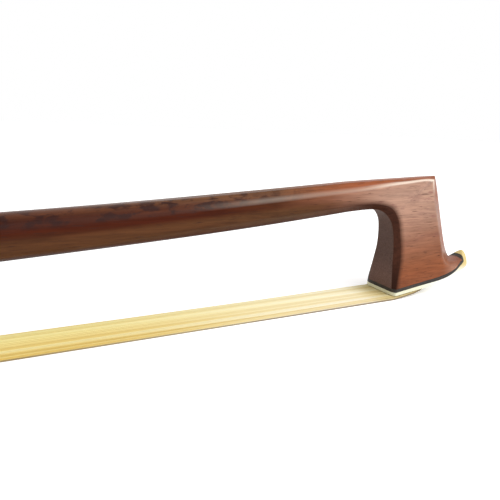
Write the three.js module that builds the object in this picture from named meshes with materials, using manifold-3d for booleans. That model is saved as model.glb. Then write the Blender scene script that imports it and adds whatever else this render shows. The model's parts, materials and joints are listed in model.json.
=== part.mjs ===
// A violin bow, at its real size in millimetres, with +Z up.
// The bow stands hair down. +X runs from the button to the tip, and y is zero on its middle plane.
// Inside the bow group x is zero at the stick's butt face, and z is zero at the underside of the head plate.
import * as THREE from 'three';
import { mergeVertices } from 'three/addons/utils/BufferGeometryUtils.js';
import Module from 'manifold-3d';

const wasm = await Module();
wasm.setup();

// Overall lengths
const hair_length = 648;         // free hair, from the ferrule to the head plate
const frog_heel = 8;             // from the butt face to the frog's heel
const frog_length = 45;          // from the heel to the ferrule's front
const ferrule_length = 9;

// Stick
const butt_radius = 4.5;         // half the width across the flats at the handle
const throat_radius = 2.72;      // the same, just behind the head
const handle_length = 110;       // stretch that doesn't taper
const taper_reach = 120;         // behind the head, in which most of the thickening is done
const straight_length = 101;     // stretch at the handle that isn't cambered
const axis_at_frog = 23.08;      // height of the stick's axis above the plate's underside
const axis_at_head = 21.76;
const camber_slope = 0.0945;     // fall of the axis behind the head, per unit of length
const facet_length = 62;         // stretch of the handle that has eight facets
const facet_fade = 22;           // stretch in which facets and round blend at the handle
const head_fade = 78;            // the same, behind the head
const edge_wear = 0.2;           // how far each facet edge is worn down
const corner_limit_share = 0.45; // of a section's side, the most that one corner's cut takes
const station_step = 24;

// Head
const head_tilt = 0.1;           // nose up against the hair, in radians
const head_length = 25.4;        // from the plate's rear edge to the tip of the nose
const plate_half_width = 4.65;
const throat_reach = 9.2;        // from the plate's rear edge back to the start of the throat
const liner_thickness = 0.5;
const plate_thickness = 0.9;     // at the rear edge
const glue_line = 0.05;          // gap between glued layers
const head_mortise_start = 3;    // from the plate's rear edge
const head_mortise_end = 12;
const head_mortise_half_width = 2.7;
const head_mortise_depth = 8.5;
const head_wedge_rise = 4;

// Hair
const hair_half_width = 4.6;
const hair_thickness = 0.8;
const hair_landing = 4;          // level stretch of hair that the bow rests on
const hair_ridges = 5;
const ridge_height = 0.15;
const knot_radius = 1.6;
const binding_thickness = 0.35;
const binding_width = 1.4;
const hair_gap = 0.3;            // between the free hair and its ends

// Running fits
const slide_clearance = 0.1;     // between the underslide and the stick
const thread_clearance = 0.1;
const turn_clearance = 0.3;      // between the button and the butt face
const fixed_clearance = 0.05;
const frog_forward = 5.5;        // travel towards the head when the hair is let down
const frog_back = 1.5;           // travel towards the button when it is screwed up

// Frog
const frog_half_width = 6.3;     // at the bottom
const frog_top_half_width = 5.6;
const frog_shoulder = 14;        // height at which the cheeks start to lean in
const frog_rise = 21.4;          // from the frog's bottom to its top edges
const thumb_lip = 1.5;           // how far the top stands past the ferrule's rear edge
const ferrule_half_width = 6.6;
const ferrule_height = 9.6;
const ferrule_wall = 0.5;
const ferrule_proud = 0.25;      // below the frog's bottom
const underslide_thickness = 0.4;
const frog_throat_radius = 4.6;
const throat_spread_share = 0.35; // how fast the wood behind the ferrule widens, of its half width
const slide_half_width = 4.2;
const slide_flare = 0.5;
const pearl_thickness = 1;
const backing_thickness = 1;
const heel_plate_thickness = 0.8;
const heel_plate_length = 8.5;
const heel_plate_rise = 11;
const frog_mortise_start = 13.5; // from the heel
const frog_mortise_end = 25;
const frog_mortise_half_width = 3.4;
const frog_mortise_depth = 7;
const frog_wedge_rise = 2;
const channel_half_width = 4;    // of the hair's way from the mortise to the ferrule
const tongue_floor = 3;          // height of the tongue's flat side
const ferrule_shoulder = 3;      // height at which the ferrule starts to round over
const slope_length = 2.8;        // in which the hair drops to the ferrule's floor
const eye_place = 20;            // from the heel
const eye_height = 11.2;
const eye_radius = 3.2;
const eye_ring_width = 0.8;
const eye_depth = 1.1;
const pin_radius = 0.6;
const pin_length = 3;
// Where the pins stand: along the solid wood behind the throat, and on the heel plate's height and length
const pin_shares = { rear: 0.16, front: 0.88, upper: 0.8, middle: 0.4, lower: 0.6 };

// Screw, eyelet and button
const screw_radius = 1.3;
const screw_tip_radius = 1.1;
const screw_tip_length = 7;
const eyelet_length = 5;
const eyelet_half_width = 1.95;
const eyelet_wall = 1.1;
const eyelet_shank_radius = 1.6;
const eyelet_shank_length = 7;
const eyelet_place = 22.5;       // from the frog's heel
const mortise_clearance = 0.8;   // beyond the eyelet's travel, at each end
const mortise_side_clearance = 0.2;
const nipple_radius = 2.6;
const nipple_length = 1.4;
const button_radius = 4.5;       // half the width across the flats
const button_collar_length = 3.6;
const button_barrel_length = 6.6;
const button_cap_length = 4.3;
const button_tenon_radius = 3.3;
const button_pearl_radius = 2.2;
const collar_pocket = 1.2;       // depth of the collar's seat on the core
const cap_wall = 0.9;
const button_pin_radius = 0.35;
const button_pin_length = 1.8;
const barrel_step = 0.15;        // how far the wood lies below the metal

// Lapping and thumb leather
const leather_start = 60;
const leather_length = 26;
const leather_taper = 1.5;       // length over which its ends thin out
const leather_thickness = 0.9;
const lapping_turns = 14;
const lapping_pitch = 4;
const lapping_width = 1.85;
const lapping_thickness = 0.38;
const lapping_crown = 0.1;
const lapping_steps = 16;        // in each turn
const lapping_seat = 0.06;       // between the lapping and the stick

// Counts of sides on round pieces
const round_sides = 24;
const small_sides = 12;
const weld_distance = 1e-5;      // below which two points are one

// Worked out from the sizes above
const head_x = frog_heel + frog_length + hair_length;
const taper_length = head_x - handle_length;
const camber_length = head_x - straight_length;
const rest_z = -hair_thickness;
const overrun = hair_landing;    // how far a cutter stands past what it cuts

const finishes = {
  stick_wood: { color: 0x7a3b22, roughness: 0.35, metalness: 0 },
  blackwood: { color: 0x191513, roughness: 0.4, metalness: 0 },
  liner_black: { color: 0x2b2824, roughness: 0.5, metalness: 0 },
  ivory_white: { color: 0xe9e4c8, roughness: 0.35, metalness: 0 },
  plug_wood: { color: 0xc9a774, roughness: 0.7, metalness: 0 },
  horsehair: { color: 0xf0e2a0, roughness: 0.6, metalness: 0 },
  thread: { color: 0xb8452f, roughness: 0.8, metalness: 0 },
  nickel_silver: { color: 0xbcb8ad, roughness: 0.25, metalness: 1 },
  pearl: { color: 0xdfe3dc, roughness: 0.2, metalness: 0.1 },
  brass: { color: 0xb58f3e, roughness: 0.35, metalness: 1 },
  steel: { color: 0x8d8f92, roughness: 0.3, metalness: 1 },
  leather: { color: 0x3a2419, roughness: 0.7, metalness: 0 },
  lapping_brown: { color: 0x3f2a1c, roughness: 0.35, metalness: 0 },
  lapping_cream: { color: 0xd9c48e, roughness: 0.35, metalness: 0 },
};

// Makes one named piece and puts it in its group.
function addPiece(group, name, geometry, finish) {
  const material = new THREE.MeshStandardMaterial(finishes[finish]);
  const mesh = new THREE.Mesh(geometry, material);
  mesh.name = name;
  group.add(mesh);
  return mesh;
}

// Solids for joining and cutting
function solidOf(geometry) {
  const bare = geometry.clone();
  for (const attribute of ['normal', 'uv']) bare.deleteAttribute(attribute);
  const merged = mergeVertices(bare, weld_distance);
  const mesh = new wasm.Mesh({
    numProp: 3,
    vertProperties: new Float32Array(merged.attributes.position.array),
    triVerts: new Uint32Array(merged.index.array),
  });
  return new wasm.Manifold(mesh);
}

function geometryOf(solid) {
  const mesh = solid.getMesh();
  const geometry = new THREE.BufferGeometry();
  geometry.setAttribute('position', new THREE.BufferAttribute(mesh.vertProperties, 3));
  geometry.setIndex(new THREE.BufferAttribute(mesh.triVerts, 1));
  return geometry;
}

function cut(solid, ...cutters) {
  return cutters.reduce((rest, cutter) => rest.subtract(cutter), solid);
}

function join(solid, ...others) {
  return others.reduce((whole, other) => whole.add(other), solid);
}

// A side outline, given as [x, z], made as thick as the span from one y to the other.
function sidePanel(outline, from_y, to_y) {
  const shape = new THREE.Shape(outline.map(([x, z]) => new THREE.Vector2(x, z)));
  const geometry = new THREE.ExtrudeGeometry(shape, { depth: to_y - from_y, bevelEnabled: false });
  geometry.rotateX(Math.PI / 2);
  geometry.translate(0, to_y, 0);
  return solidOf(geometry);
}

// An end-on outline, given as [y, z], run along x.
function bar(outline, from_x, to_x) {
  const shape = new THREE.Shape(outline.map(([y, z]) => new THREE.Vector2(y, z)));
  const geometry = new THREE.ExtrudeGeometry(shape, { depth: to_x - from_x, bevelEnabled: false });
  geometry.rotateY(Math.PI / 2);
  geometry.rotateX(Math.PI / 2);
  geometry.translate(from_x, 0, 0);
  return solidOf(geometry);
}

function block(low, high) {
  const size = high.map((value, i) => value - low[i]);
  const geometry = new THREE.BoxGeometry(...size);
  geometry.translate(...high.map((value, i) => (value + low[i]) / 2));
  return solidOf(geometry);
}

// A round rod from one point to another along one of the axes 'x', 'y' or 'z'.
function rod(axis, radius, from, length, sides = round_sides) {
  const geometry = new THREE.CylinderGeometry(radius, radius, length, sides);
  geometry.translate(0, length / 2, 0);
  if (axis === 'x') geometry.rotateZ(-Math.PI / 2);
  if (axis === 'z') geometry.rotateX(Math.PI / 2);
  geometry.translate(...from);
  return solidOf(geometry);
}

function mirrored(half) {
  return [...half, ...half.slice().reverse().map(([y, z]) => [-y, z])];
}

function octagon(radius, middle_z = 0) {
  const corner = radius / Math.cos(Math.PI / 8);
  const points = [];
  for (let k = 0; k < 8; k += 1) {
    const angle = (k + 0.5) * Math.PI / 4;
    points.push([corner * Math.cos(angle), middle_z + corner * Math.sin(angle)]);
  }
  return points;
}

// Joins rings of equal count into one closed solid.
function loft(rings) {
  const count = rings[0].length;
  const positions = rings.flat(2);
  const index = [];
  for (let r = 0; r + 1 < rings.length; r += 1) {
    for (let k = 0; k < count; k += 1) {
      const next = (k + 1) % count;
      const a = r * count + k;
      const b = r * count + next;
      index.push(a, b, b + count, a, b + count, a + count);
    }
  }
  const last = (rings.length - 1) * count;
  for (let k = 1; k + 1 < count; k += 1) {
    index.push(0, k + 1, k);
    index.push(last, last + k, last + k + 1);
  }
  const geometry = new THREE.BufferGeometry();
  geometry.setAttribute('position', new THREE.Float32BufferAttribute(positions, 3));
  geometry.setIndex(index);
  return geometry;
}

// Stick
function stickRadius(x) {
  const behind = Math.max(head_x - x, 0);
  if (behind >= taper_length) return butt_radius;
  const growth = (1 - Math.exp(-behind / taper_reach)) / (1 - Math.exp(-taper_length / taper_reach));
  return throat_radius + (butt_radius - throat_radius) * growth;
}

function stickAxis(x) {
  const t = Math.min((head_x - x) / camber_length, 1);
  const rise = t ** 3 - 2 * t ** 2 + t;
  const blend = 3 * t ** 2 - 2 * t ** 3;
  return axis_at_head * (1 - blend) + axis_at_frog * blend - camber_length * camber_slope * rise;
}

// How far each corner of the section is cut short: little on facets, a sixteenth turn where it is round.
function stickCornerCut(x) {
  const radius = stickRadius(x);
  const round_cut = 2 * Math.tan(Math.PI / 8) * radius / (2 + 2 * Math.cos(Math.PI / 8));
  const from_handle = THREE.MathUtils.smoothstep(x, facet_length, facet_length + facet_fade);
  const from_head = THREE.MathUtils.smoothstep(head_x - x, throat_reach, head_fade);
  return edge_wear + (round_cut - edge_wear) * Math.min(from_handle, from_head);
}

// One section: a line from an inner to an outer point, [x, z], with eight corners about it, each cut short.
function sectionRing(inner, outer, s) {
  const dx = outer[0] - inner[0];
  const dz = outer[1] - inner[1];
  const depth = Math.hypot(dx, dz);
  const corners = [
    [0, -s.flat_in], [0, s.flat_in],
    [s.bevel_in, s.half_in], [depth - s.bevel_out, s.half_out],
    [depth, s.flat_out], [depth, -s.flat_out],
    [depth - s.bevel_out, -s.half_out], [s.bevel_in, -s.half_in],
  ];
  const points = [];
  corners.forEach((corner, k) => {
    const before = corners[(k + 7) % 8];
    const after = corners[(k + 1) % 8];
    const wanted = corner[0] > depth / 2 ? s.cut_out : s.cut_in;
    for (const other of [before, after]) {
      const edge = Math.hypot(other[0] - corner[0], other[1] - corner[1]);
      const share = Math.min(wanted / edge, corner_limit_share);
      const along = corner[0] + (other[0] - corner[0]) * share;
      const y = corner[1] + (other[1] - corner[1]) * share;
      points.push([inner[0] + dx * along / depth, y, inner[1] + dz * along / depth]);
    }
  });
  return points;
}

function stickSection(x, room = 0) {
  const radius = stickRadius(x) + room;
  const flat = radius * Math.tan(Math.PI / 8);
  const corner_cut = stickCornerCut(x) * radius / stickRadius(x);
  return {
    flat_in: flat, half_in: radius, bevel_in: radius - flat,
    flat_out: flat, half_out: radius, bevel_out: radius - flat,
    cut_in: corner_cut, cut_out: corner_cut,
  };
}

function stickRing(x, room = 0) {
  const radius = stickRadius(x) + room;
  const axis = stickAxis(x);
  return sectionRing([x, axis - radius], [x, axis + radius], stickSection(x, room));
}

// Head frame: a runs along the plate towards the nose, and b stands square to it.
function fromHead([a, b]) {
  const cos = Math.cos(head_tilt);
  const sin = Math.sin(head_tilt);
  return [head_x + a * cos - b * sin, a * sin + b * cos];
}

function toHead([x, z]) {
  const cos = Math.cos(head_tilt);
  const sin = Math.sin(head_tilt);
  return [(x - head_x) * cos + z * sin, -(x - head_x) * sin + z * cos];
}

const join_x = head_x - throat_reach * Math.cos(head_tilt) - axis_at_head * Math.sin(head_tilt);
const join_under = toHead([join_x, stickAxis(join_x) - stickRadius(join_x)]);
const join_top = toHead([join_x, stickAxis(join_x) + stickRadius(join_x)]);

// The head's sections, from the stick to the peak, down the ridge to the nose, and past the nose.
// inner: share of the throat's reach behind the rear edge (or of the plate's width past it), and of the
// underside's height. outer: share of the head's length, and of the top's height. Widths and bevels are
// shares of the plate's half width.
const throat_shares = [
  { inner: [-0.5, 0.988], outer: [-0.041, 0.983], flat: [0.26, 0.22], half: [0.61, 0.61], bevel: [0.33, 0.33] },
  { inner: [-0.22, 0.966], outer: [0.204, 0.968], flat: [0.31, 0.19], half: [0.615, 0.605], bevel: [0.3, 0.27] },
  { inner: [-0.075, 0.928], outer: [0.408, 0.957], flat: [0.35, 0.14], half: [0.62, 0.6], bevel: [0.3, 0.24] },
  { inner: [0.012, 0.883], outer: [0.565, 0.948], flat: [0.39, 0.07], half: [0.635, 0.58], bevel: [0.28, 0.66] },
];
const ridge_shares = [
  { inner: [0.1, 0.8], outer: [0.603, 0.82], flat: [0.45, 0.06], half: [0.655, 0.59], bevel: [0.25, 0.76] },
  { inner: [0.135, 0.66], outer: [0.643, 0.649], flat: [0.505, 0.06], half: [0.69, 0.61], bevel: [0.24, 0.77] },
  { inner: [0.125, 0.508], outer: [0.686, 0.47], flat: [0.56, 0.06], half: [0.75, 0.645], bevel: [0.28, 0.78] },
  { inner: [0.076, 0.36], outer: [0.725, 0.316], flat: [0.635, 0.07], half: [0.84, 0.67], bevel: [0.28, 0.8] },
  { inner: [0.038, 0.233], outer: [0.76, 0.224], flat: [0.71, 0.08], half: [0.915, 0.7], bevel: [0.2, 0.88] },
  { inner: [0.013, 0.106], outer: [0.789, 0.177], flat: [0.765, 0.08], half: [0.97, 0.76], bevel: [0.12, 0.9] },
  { inner: [0, 0], outer: [0.807, 0.163], flat: [0.785, 0.08], half: [0.995, 0.78], bevel: [0.08, 0.76] },
  { inner: [0, -0.065], outer: [0.825, 0.154], flat: [0.79, 0.08], half: [1.02, 0.77], bevel: [0.07, 0.62] },
  { inner: [0.543, -0.129], outer: [0.85, 0.148], flat: [0.795, 0.09], half: [1.12, 0.74], bevel: [0.07, 0.54] },
  { inner: [1.087, -0.161], outer: [0.882, 0.146], flat: [0.795, 0.1], half: [1.3, 0.68], bevel: [0.07, 0.5] },
];
const nose_shares = [
  { inner: [1.413, -0.215], outer: [0.921, 0.159], flat: [0.795, 0.1], half: [1.45, 0.6], bevel: [0.07, 0.52] },
  { inner: [1.63, -0.269], outer: [0.969, 0.193], flat: [0.795, 0.1], half: [1.35, 0.55], bevel: [0.07, 0.66] },
  { inner: [1.739, -0.323], outer: [0.992, 0.175], flat: [0.795, 0.15], half: [1.3, 0.55], bevel: [0.07, 0.55] },
  { inner: [1.739, -0.43], outer: [1, 0.13], flat: [0.795, 0.2], half: [1.3, 0.55], bevel: [0.07, 0.45] },
  { inner: [1.685, -0.538], outer: [0.992, 0.065], flat: [0.795, 0.22], half: [1.3, 0.55], bevel: [0.07, 0.45] },
  { inner: [1.63, -0.645], outer: [0.976, -0.02], flat: [0.795, 0.22], half: [1.3, 0.55], bevel: [0.07, 0.45] },
];
const nose_edge_share = 0.3;     // how far the nose's edges are rounded, of the plate's half width

function headKey(row, rounding) {
  const width = plate_half_width;
  return {
    inner: [row.inner[0] * throat_reach, row.inner[1] * join_under[1]],
    outer: [row.outer[0] * head_length, row.outer[1] * join_top[1]],
    flat_in: row.flat[0] * width,
    flat_out: row.flat[1] * width,
    half_in: row.half[0] * width,
    half_out: row.half[1] * width,
    bevel_in: row.bevel[0] * width,
    bevel_out: row.bevel[1] * width,
    cut_in: edge_wear,
    cut_out: edge_wear + rounding * nose_edge_share * width,
  };
}

// Fills in stations between keys with a smooth curve through every value.
function between(keys, steps) {
  const stations = [];
  const value = (key, name, i) => (Array.isArray(key[name]) ? key[name][i] : key[name]);
  const smooth = (list, t) => {
    const [p0, p1, p2, p3] = list;
    const bend = 2 * p0 - 5 * p1 + 4 * p2 - p3;
    const turn = 3 * (p1 - p2) + p3 - p0;
    return p1 + 0.5 * (t * (p2 - p0) + t ** 2 * bend + t ** 3 * turn);
  };
  for (let k = 0; k + 1 < keys.length; k += 1) {
    const four = [keys[Math.max(k - 1, 0)], keys[k], keys[k + 1], keys[Math.min(k + 2, keys.length - 1)]];
    for (let j = 0; j < steps; j += 1) {
      const station = {};
      for (const name of Object.keys(keys[k])) {
        const pick = (i) => smooth(four.map((key) => value(key, name, i)), j / steps);
        station[name] = Array.isArray(keys[k][name]) ? [pick(0), pick(1)] : pick(0);
      }
      stations.push(station);
    }
  }
  return stations;
}

function headStations() {
  const first = { inner: join_under, outer: join_top, ...stickSection(join_x) };
  const throat = [first, ...throat_shares.map((row) => headKey(row, 0))];
  const peak = throat.at(-1);
  const ridge_count = ridge_shares.length;
  const ridge = [peak, ...ridge_shares.map((row, k) => headKey(row, ((k + 1) / ridge_count) ** 2))];
  const nose = [ridge.at(-1), ...nose_shares.map((row) => headKey(row, 1))];
  return [...between(throat, 3), ...between(ridge, 2), ...between(nose, 2), nose.at(-1)];
}

function stickStations() {
  const places = [0, facet_length / 2, facet_length];
  for (let x = facet_length + facet_fade / 4; x < join_x - station_step / 2; ) {
    places.push(x);
    const near_fade = x < facet_length + facet_fade;
    const near_head = x > head_x - head_fade - station_step;
    const step = near_fade ? facet_fade / 4 : near_head ? station_step / 2 : station_step;
    x += step;
  }
  return places;
}

// The layers under the head: the wood's lower face, and the plate's outer face, as [a, b].
const wood_face_shares = [
  [0, 1], [0.466, 1], [0.556, 1.05], [0.645, 1.18], [0.735, 1.42], [0.81, 1.68], [0.87, 1.95],
  [0.908, 2.27], [0.921, 2.8], [0.921, 3.4],
];
const plate_face_shares = [
  [0, 0], [0.377, 0], [0.5, 0.13], [0.6, 0.3], [0.68, 0.48], [0.765, 0.7], [0.83, 0.87], [0.89, 1.05],
  [0.94, 1.27], [0.975, 1.57], [0.995, 2.1], [1.01, 3],
];
const wood_face_height = plate_thickness + liner_thickness + glue_line;
const wood_face = wood_face_shares.map(([a, b]) => [a * head_length, b * wood_face_height]);
const plate_face = plate_face_shares.map(([a, b]) => [a * head_length, b * wood_face_height]);

// Moves an open outline sideways, down and towards the nose.
function lowered(outline, distance) {
  return outline.map((point, k) => {
    const before = outline[Math.max(k - 1, 0)];
    const after = outline[Math.min(k + 1, outline.length - 1)];
    const dx = after[0] - before[0];
    const dz = after[1] - before[1];
    const length = Math.hypot(dx, dz);
    return [point[0] + distance * dz / length, point[1] - distance * dx / length];
  });
}

// Carries an open outline straight on past both its ends.
function prolonged(outline, distance) {
  const first = outline[0];
  const last = outline.at(-1);
  return [[first[0] - distance, first[1]], ...outline, [last[0], last[1] + distance]];
}

const layer_reach = 4 * head_length;
const wood_cutter_outline = [
  ...prolonged(wood_face, overrun),
  [layer_reach, wood_face.at(-1)[1] + overrun],
  [layer_reach, -layer_reach],
  [-overrun, -layer_reach],
];
const liner_outline = [
  ...prolonged(lowered(wood_face, glue_line), overrun),
  ...prolonged(lowered(wood_face, glue_line + liner_thickness), overrun).reverse(),
];
const plate_outline = [
  ...prolonged(lowered(wood_face, 2 * glue_line + liner_thickness), overrun),
  [2 * head_length, wood_face.at(-1)[1] + overrun],
  [2 * head_length, plate_face.at(-1)[1]],
  ...plate_face.slice().reverse(),
  [-overrun, plate_face[0][1]],
];

const head_rings = headStations().map((s) => sectionRing(s.inner, s.outer, s));
const cutter_half_width = 3 * plate_half_width;

const head_mortise_low = [head_mortise_start, -head_mortise_half_width, -overrun];
const head_mortise_high = [head_mortise_end, head_mortise_half_width, head_mortise_depth];
const head_mortise_cutter = block(head_mortise_low, head_mortise_high);

function headLayer(outline) {
  const whole = solidOf(loft(head_rings));
  const layer = whole.intersect(sidePanel(outline, -cutter_half_width, cutter_half_width));
  return geometryOf(cut(layer, head_mortise_cutter));
}

// The head mortise as it lies in the bow's frame
function headMortiseInBow() {
  const outline = [
    [head_mortise_start, -overrun], [head_mortise_end, -overrun],
    [head_mortise_end, head_mortise_depth], [head_mortise_start, head_mortise_depth],
  ];
  return sidePanel(outline.map(fromHead), -head_mortise_half_width, head_mortise_half_width);
}

// Screw mortise, bores and nipple in the butt
const eyelet_x = frog_heel + eyelet_place;
const stick_mortise_start = eyelet_x - eyelet_length / 2 - frog_back - mortise_clearance;
const stick_mortise_end = eyelet_x + eyelet_length / 2 + frog_forward + mortise_clearance;
const screw_tip_start = stick_mortise_end - fixed_clearance;
const eyelet_hole_radius = screw_radius + thread_clearance;
const eyelet_top = eyelet_hole_radius + eyelet_wall;

function stickGeometry() {
  const rings = stickStations().map((x) => stickRing(x));
  for (const station of headStations()) {
    const inner = fromHead(station.inner);
    const outer = fromHead(station.outer);
    rings.push(sectionRing(inner, outer, station));
  }
  const mortise_half_width = eyelet_half_width + mortise_side_clearance;
  const mortise_top = axis_at_frog + eyelet_top + mortise_side_clearance;
  const mortise = block(
    [stick_mortise_start, -mortise_half_width, axis_at_frog - 2 * butt_radius],
    [stick_mortise_end, mortise_half_width, mortise_top],
  );
  const at = (x) => [x, 0, axis_at_frog];
  const rear_bore = rod('x', screw_radius + thread_clearance, at(-nipple_length - overrun),
    stick_mortise_start + nipple_length + 2 * overrun);
  const tip_bore = rod('x', screw_tip_radius + thread_clearance, at(stick_mortise_end - overrun),
    screw_tip_length + 2 * overrun);
  const nipple = rod('x', nipple_radius, at(-nipple_length), nipple_length + overrun);
  const face = sidePanel(wood_cutter_outline.map(fromHead), -cutter_half_width, cutter_half_width);
  const body = join(solidOf(loft(rings)), nipple);
  return geometryOf(cut(body, face, headMortiseInBow(), mortise, rear_bore, tip_bore));
}

// A prism over a plan outline, given as [x, y].
function planPrism(outline, from_z, to_z) {
  const shape = new THREE.Shape(outline.map(([x, y]) => new THREE.Vector2(x, y)));
  const geometry = new THREE.ExtrudeGeometry(shape, { depth: to_z - from_z, bevelEnabled: false });
  geometry.translate(0, 0, from_z);
  return solidOf(geometry);
}

// A strip of plan along x, given as [x, half width] from one end to the other.
function planStrip(edges, from_z, to_z) {
  const back = edges.slice().reverse().map(([x, half]) => [x, -half]);
  return planPrism([...edges, ...back], from_z, to_z);
}

function washer(axis, inner_radius, outer_radius, from, length, sides = round_sides) {
  const hole_from = from.slice();
  hole_from['xyz'.indexOf(axis)] -= length;
  const hole = rod(axis, inner_radius, hole_from, 3 * length, sides);
  return cut(rod(axis, outer_radius, from, length, sides), hole);
}

const hair_top = -glue_line;     // of the hair that lies under the plate
const knot_b = head_mortise_depth - knot_radius - binding_thickness - 2 * fixed_clearance;
const knot_start = (head_mortise_start + head_mortise_end) / 2;
const hair_riser_end = head_mortise_end - fixed_clearance;
const hair_riser_start = hair_riser_end - hair_thickness;

function headWedgeGeometry() {
  const half = head_mortise_half_width - fixed_clearance;
  const low = [head_mortise_start + fixed_clearance, -half, glue_line];
  const high = [hair_riser_start - fixed_clearance, half, head_wedge_rise];
  return geometryOf(block(low, high));
}

// The hair's level landing, its run under the plate, the fold over the wedge and the knot.
function hairHeadEndGeometry() {
  const in_bow = [
    [hair_riser_end, rest_z], [hair_riser_end, knot_b], [hair_riser_start, knot_b],
    [hair_riser_start, hair_top], [0, hair_top],
  ].map(fromHead);
  const landing = head_x - hair_landing;
  const outline = [[landing, rest_z], [head_x, rest_z], ...in_bow, [landing, hair_top]];
  const tucked_half_width = head_mortise_half_width - fixed_clearance;
  const plan = planStrip([
    [landing - overrun, hair_half_width], [head_x, hair_half_width],
    [fromHead([hair_riser_start, 0])[0] - knot_radius, tucked_half_width],
    [head_x + head_length, tucked_half_width],
  ], rest_z - overrun, head_mortise_depth + overrun);
  const run = sidePanel(outline, -cutter_half_width, cutter_half_width).intersect(plan);
  const knot_from = fromHead([knot_start, knot_b]);
  const knot = new THREE.CylinderGeometry(knot_radius, knot_radius, hair_riser_end - knot_start, small_sides);
  knot.translate(0, (hair_riser_end - knot_start) / 2, 0);
  knot.rotateZ(-Math.PI / 2);
  knot.rotateY(-head_tilt);
  knot.translate(knot_from[0], 0, knot_from[1]);
  return geometryOf(join(run, solidOf(knot)));
}

function headBindingGeometry() {
  const inner = knot_radius + fixed_clearance;
  const from = [knot_start + binding_width / 2, 0, knot_b];
  return geometryOf(washer('x', inner, inner + binding_thickness, from, binding_width, small_sides));
}

// Lapping: two strips wound side by side, each one unbroken band with a crowned back.
const leather_end = leather_start + leather_length;
const lapping_start = leather_end + lapping_width;

function lappingStations(phase) {
  const half = lapping_width / 2;
  const section = [
    [-half, 0], [half, 0], [half, lapping_thickness], [half / 2, lapping_thickness + lapping_crown],
    [-half / 2, lapping_thickness + lapping_crown], [-half, lapping_thickness],
  ];
  const stations = [];
  for (let k = 0; k <= lapping_turns * lapping_steps; k += 1) {
    const turn = k / lapping_steps;
    const angle = 2 * Math.PI * (turn + 0.5 / lapping_steps);
    const x = lapping_start + lapping_pitch * (turn + phase);
    const seat = stickRadius(x) / Math.cos(Math.PI / lapping_steps) + lapping_seat;
    stations.push(section.map(([along, out]) => [
      x + along,
      (seat + out) * Math.cos(angle),
      stickAxis(x) + (seat + out) * Math.sin(angle),
    ]));
  }
  return stations;
}

// Least distance between a strip's points and its own points a turn or more further on.
function leastGap(stations) {
  let least = Infinity;
  const far = lapping_steps - 2;
  stations.forEach((station, i) => {
    for (const other of stations.slice(i + far)) {
      for (const [x, y, z] of station) {
        for (const [u, v, w] of other) least = Math.min(least, Math.hypot(x - u, y - v, z - w));
      }
    }
  });
  return least;
}

function lappingGeometry(phase, label) {
  const stations = lappingStations(phase);
  console.log(`${label}: least gap to itself ${leastGap(stations).toFixed(2)} mm`);
  return geometryOf(solidOf(loft(stations)));
}

// Thumb leather: a sleeve that follows the stick's section, thinned at both ends.
function leatherGeometry() {
  const inside = stickStations().filter((x) => x > leather_start && x < leather_end);
  const ends = [leather_start + leather_taper, leather_end - leather_taper];
  const places = [leather_start, ...ends, ...inside, leather_end].sort((a, b) => a - b);
  const outer = places.map((x) => {
    const at_end = x === leather_start || x === leather_end;
    return stickRing(x, lapping_seat + leather_thickness * (at_end ? 0.5 : 1));
  });
  const inner = [leather_start - overrun, ...places.slice(1, -1), leather_end + overrun];
  const bore = solidOf(loft(inner.map((x) => stickRing(x, lapping_seat))));
  return geometryOf(cut(solidOf(loft(outer)), bore));
}

// The frog's frame: x runs from the heel, and z from the frog's bottom.
const frog_floor_z = rest_z + ferrule_proud;
const axis_in_frog = axis_at_frog - frog_floor_z;
const ferrule_rear = frog_length - ferrule_length;
const frog_front = ferrule_rear + thumb_lip;
const slide_depth = pearl_thickness + backing_thickness;
const slide_start = heel_plate_length + 2 * fixed_clearance;
const slide_end = ferrule_rear - 2 * fixed_clearance;
const underslide_inner = butt_radius + slide_clearance;
const underslide_outer = underslide_inner + underslide_thickness;
const channel_radius = underslide_outer + fixed_clearance;
const channel_floor = axis_in_frog - channel_radius;
const ferrule_top = ferrule_height - ferrule_proud;
const ferrule_floor = ferrule_wall - ferrule_proud;
const hair_in_frog = slide_depth + fixed_clearance;
const hair_band = hair_thickness - glue_line;
const hair_exit = ferrule_floor + fixed_clearance;
const frog_roof = slide_depth + frog_mortise_depth;
const frog_knot_z = frog_roof - knot_radius - binding_thickness - 2 * fixed_clearance;
const frog_riser = frog_mortise_start + fixed_clearance;

// A D-shaped outline, given as [y, z]: a flat floor, upright sides and a round top.
function dOutline(half_width, floor, shoulder, top) {
  const points = [[half_width, floor]];
  const steps = round_sides / 4;
  for (let k = 0; k < steps; k += 1) {
    const angle = (k / steps) * Math.PI / 2;
    points.push([half_width * Math.cos(angle), shoulder + (top - shoulder) * Math.sin(angle)]);
  }
  points.push([0, top]);
  return [...points, ...points.slice(0, -1).reverse().map(([y, z]) => [-y, z])];
}

// The slide's dovetail between two depths, wider inside than at its face.
function dovetail(from_z, to_z, room = 0) {
  const half = (z) => slide_half_width + slide_flare * z / slide_depth + room;
  return mirrored([[half(from_z), from_z], [half(to_z), to_z]]);
}

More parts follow.
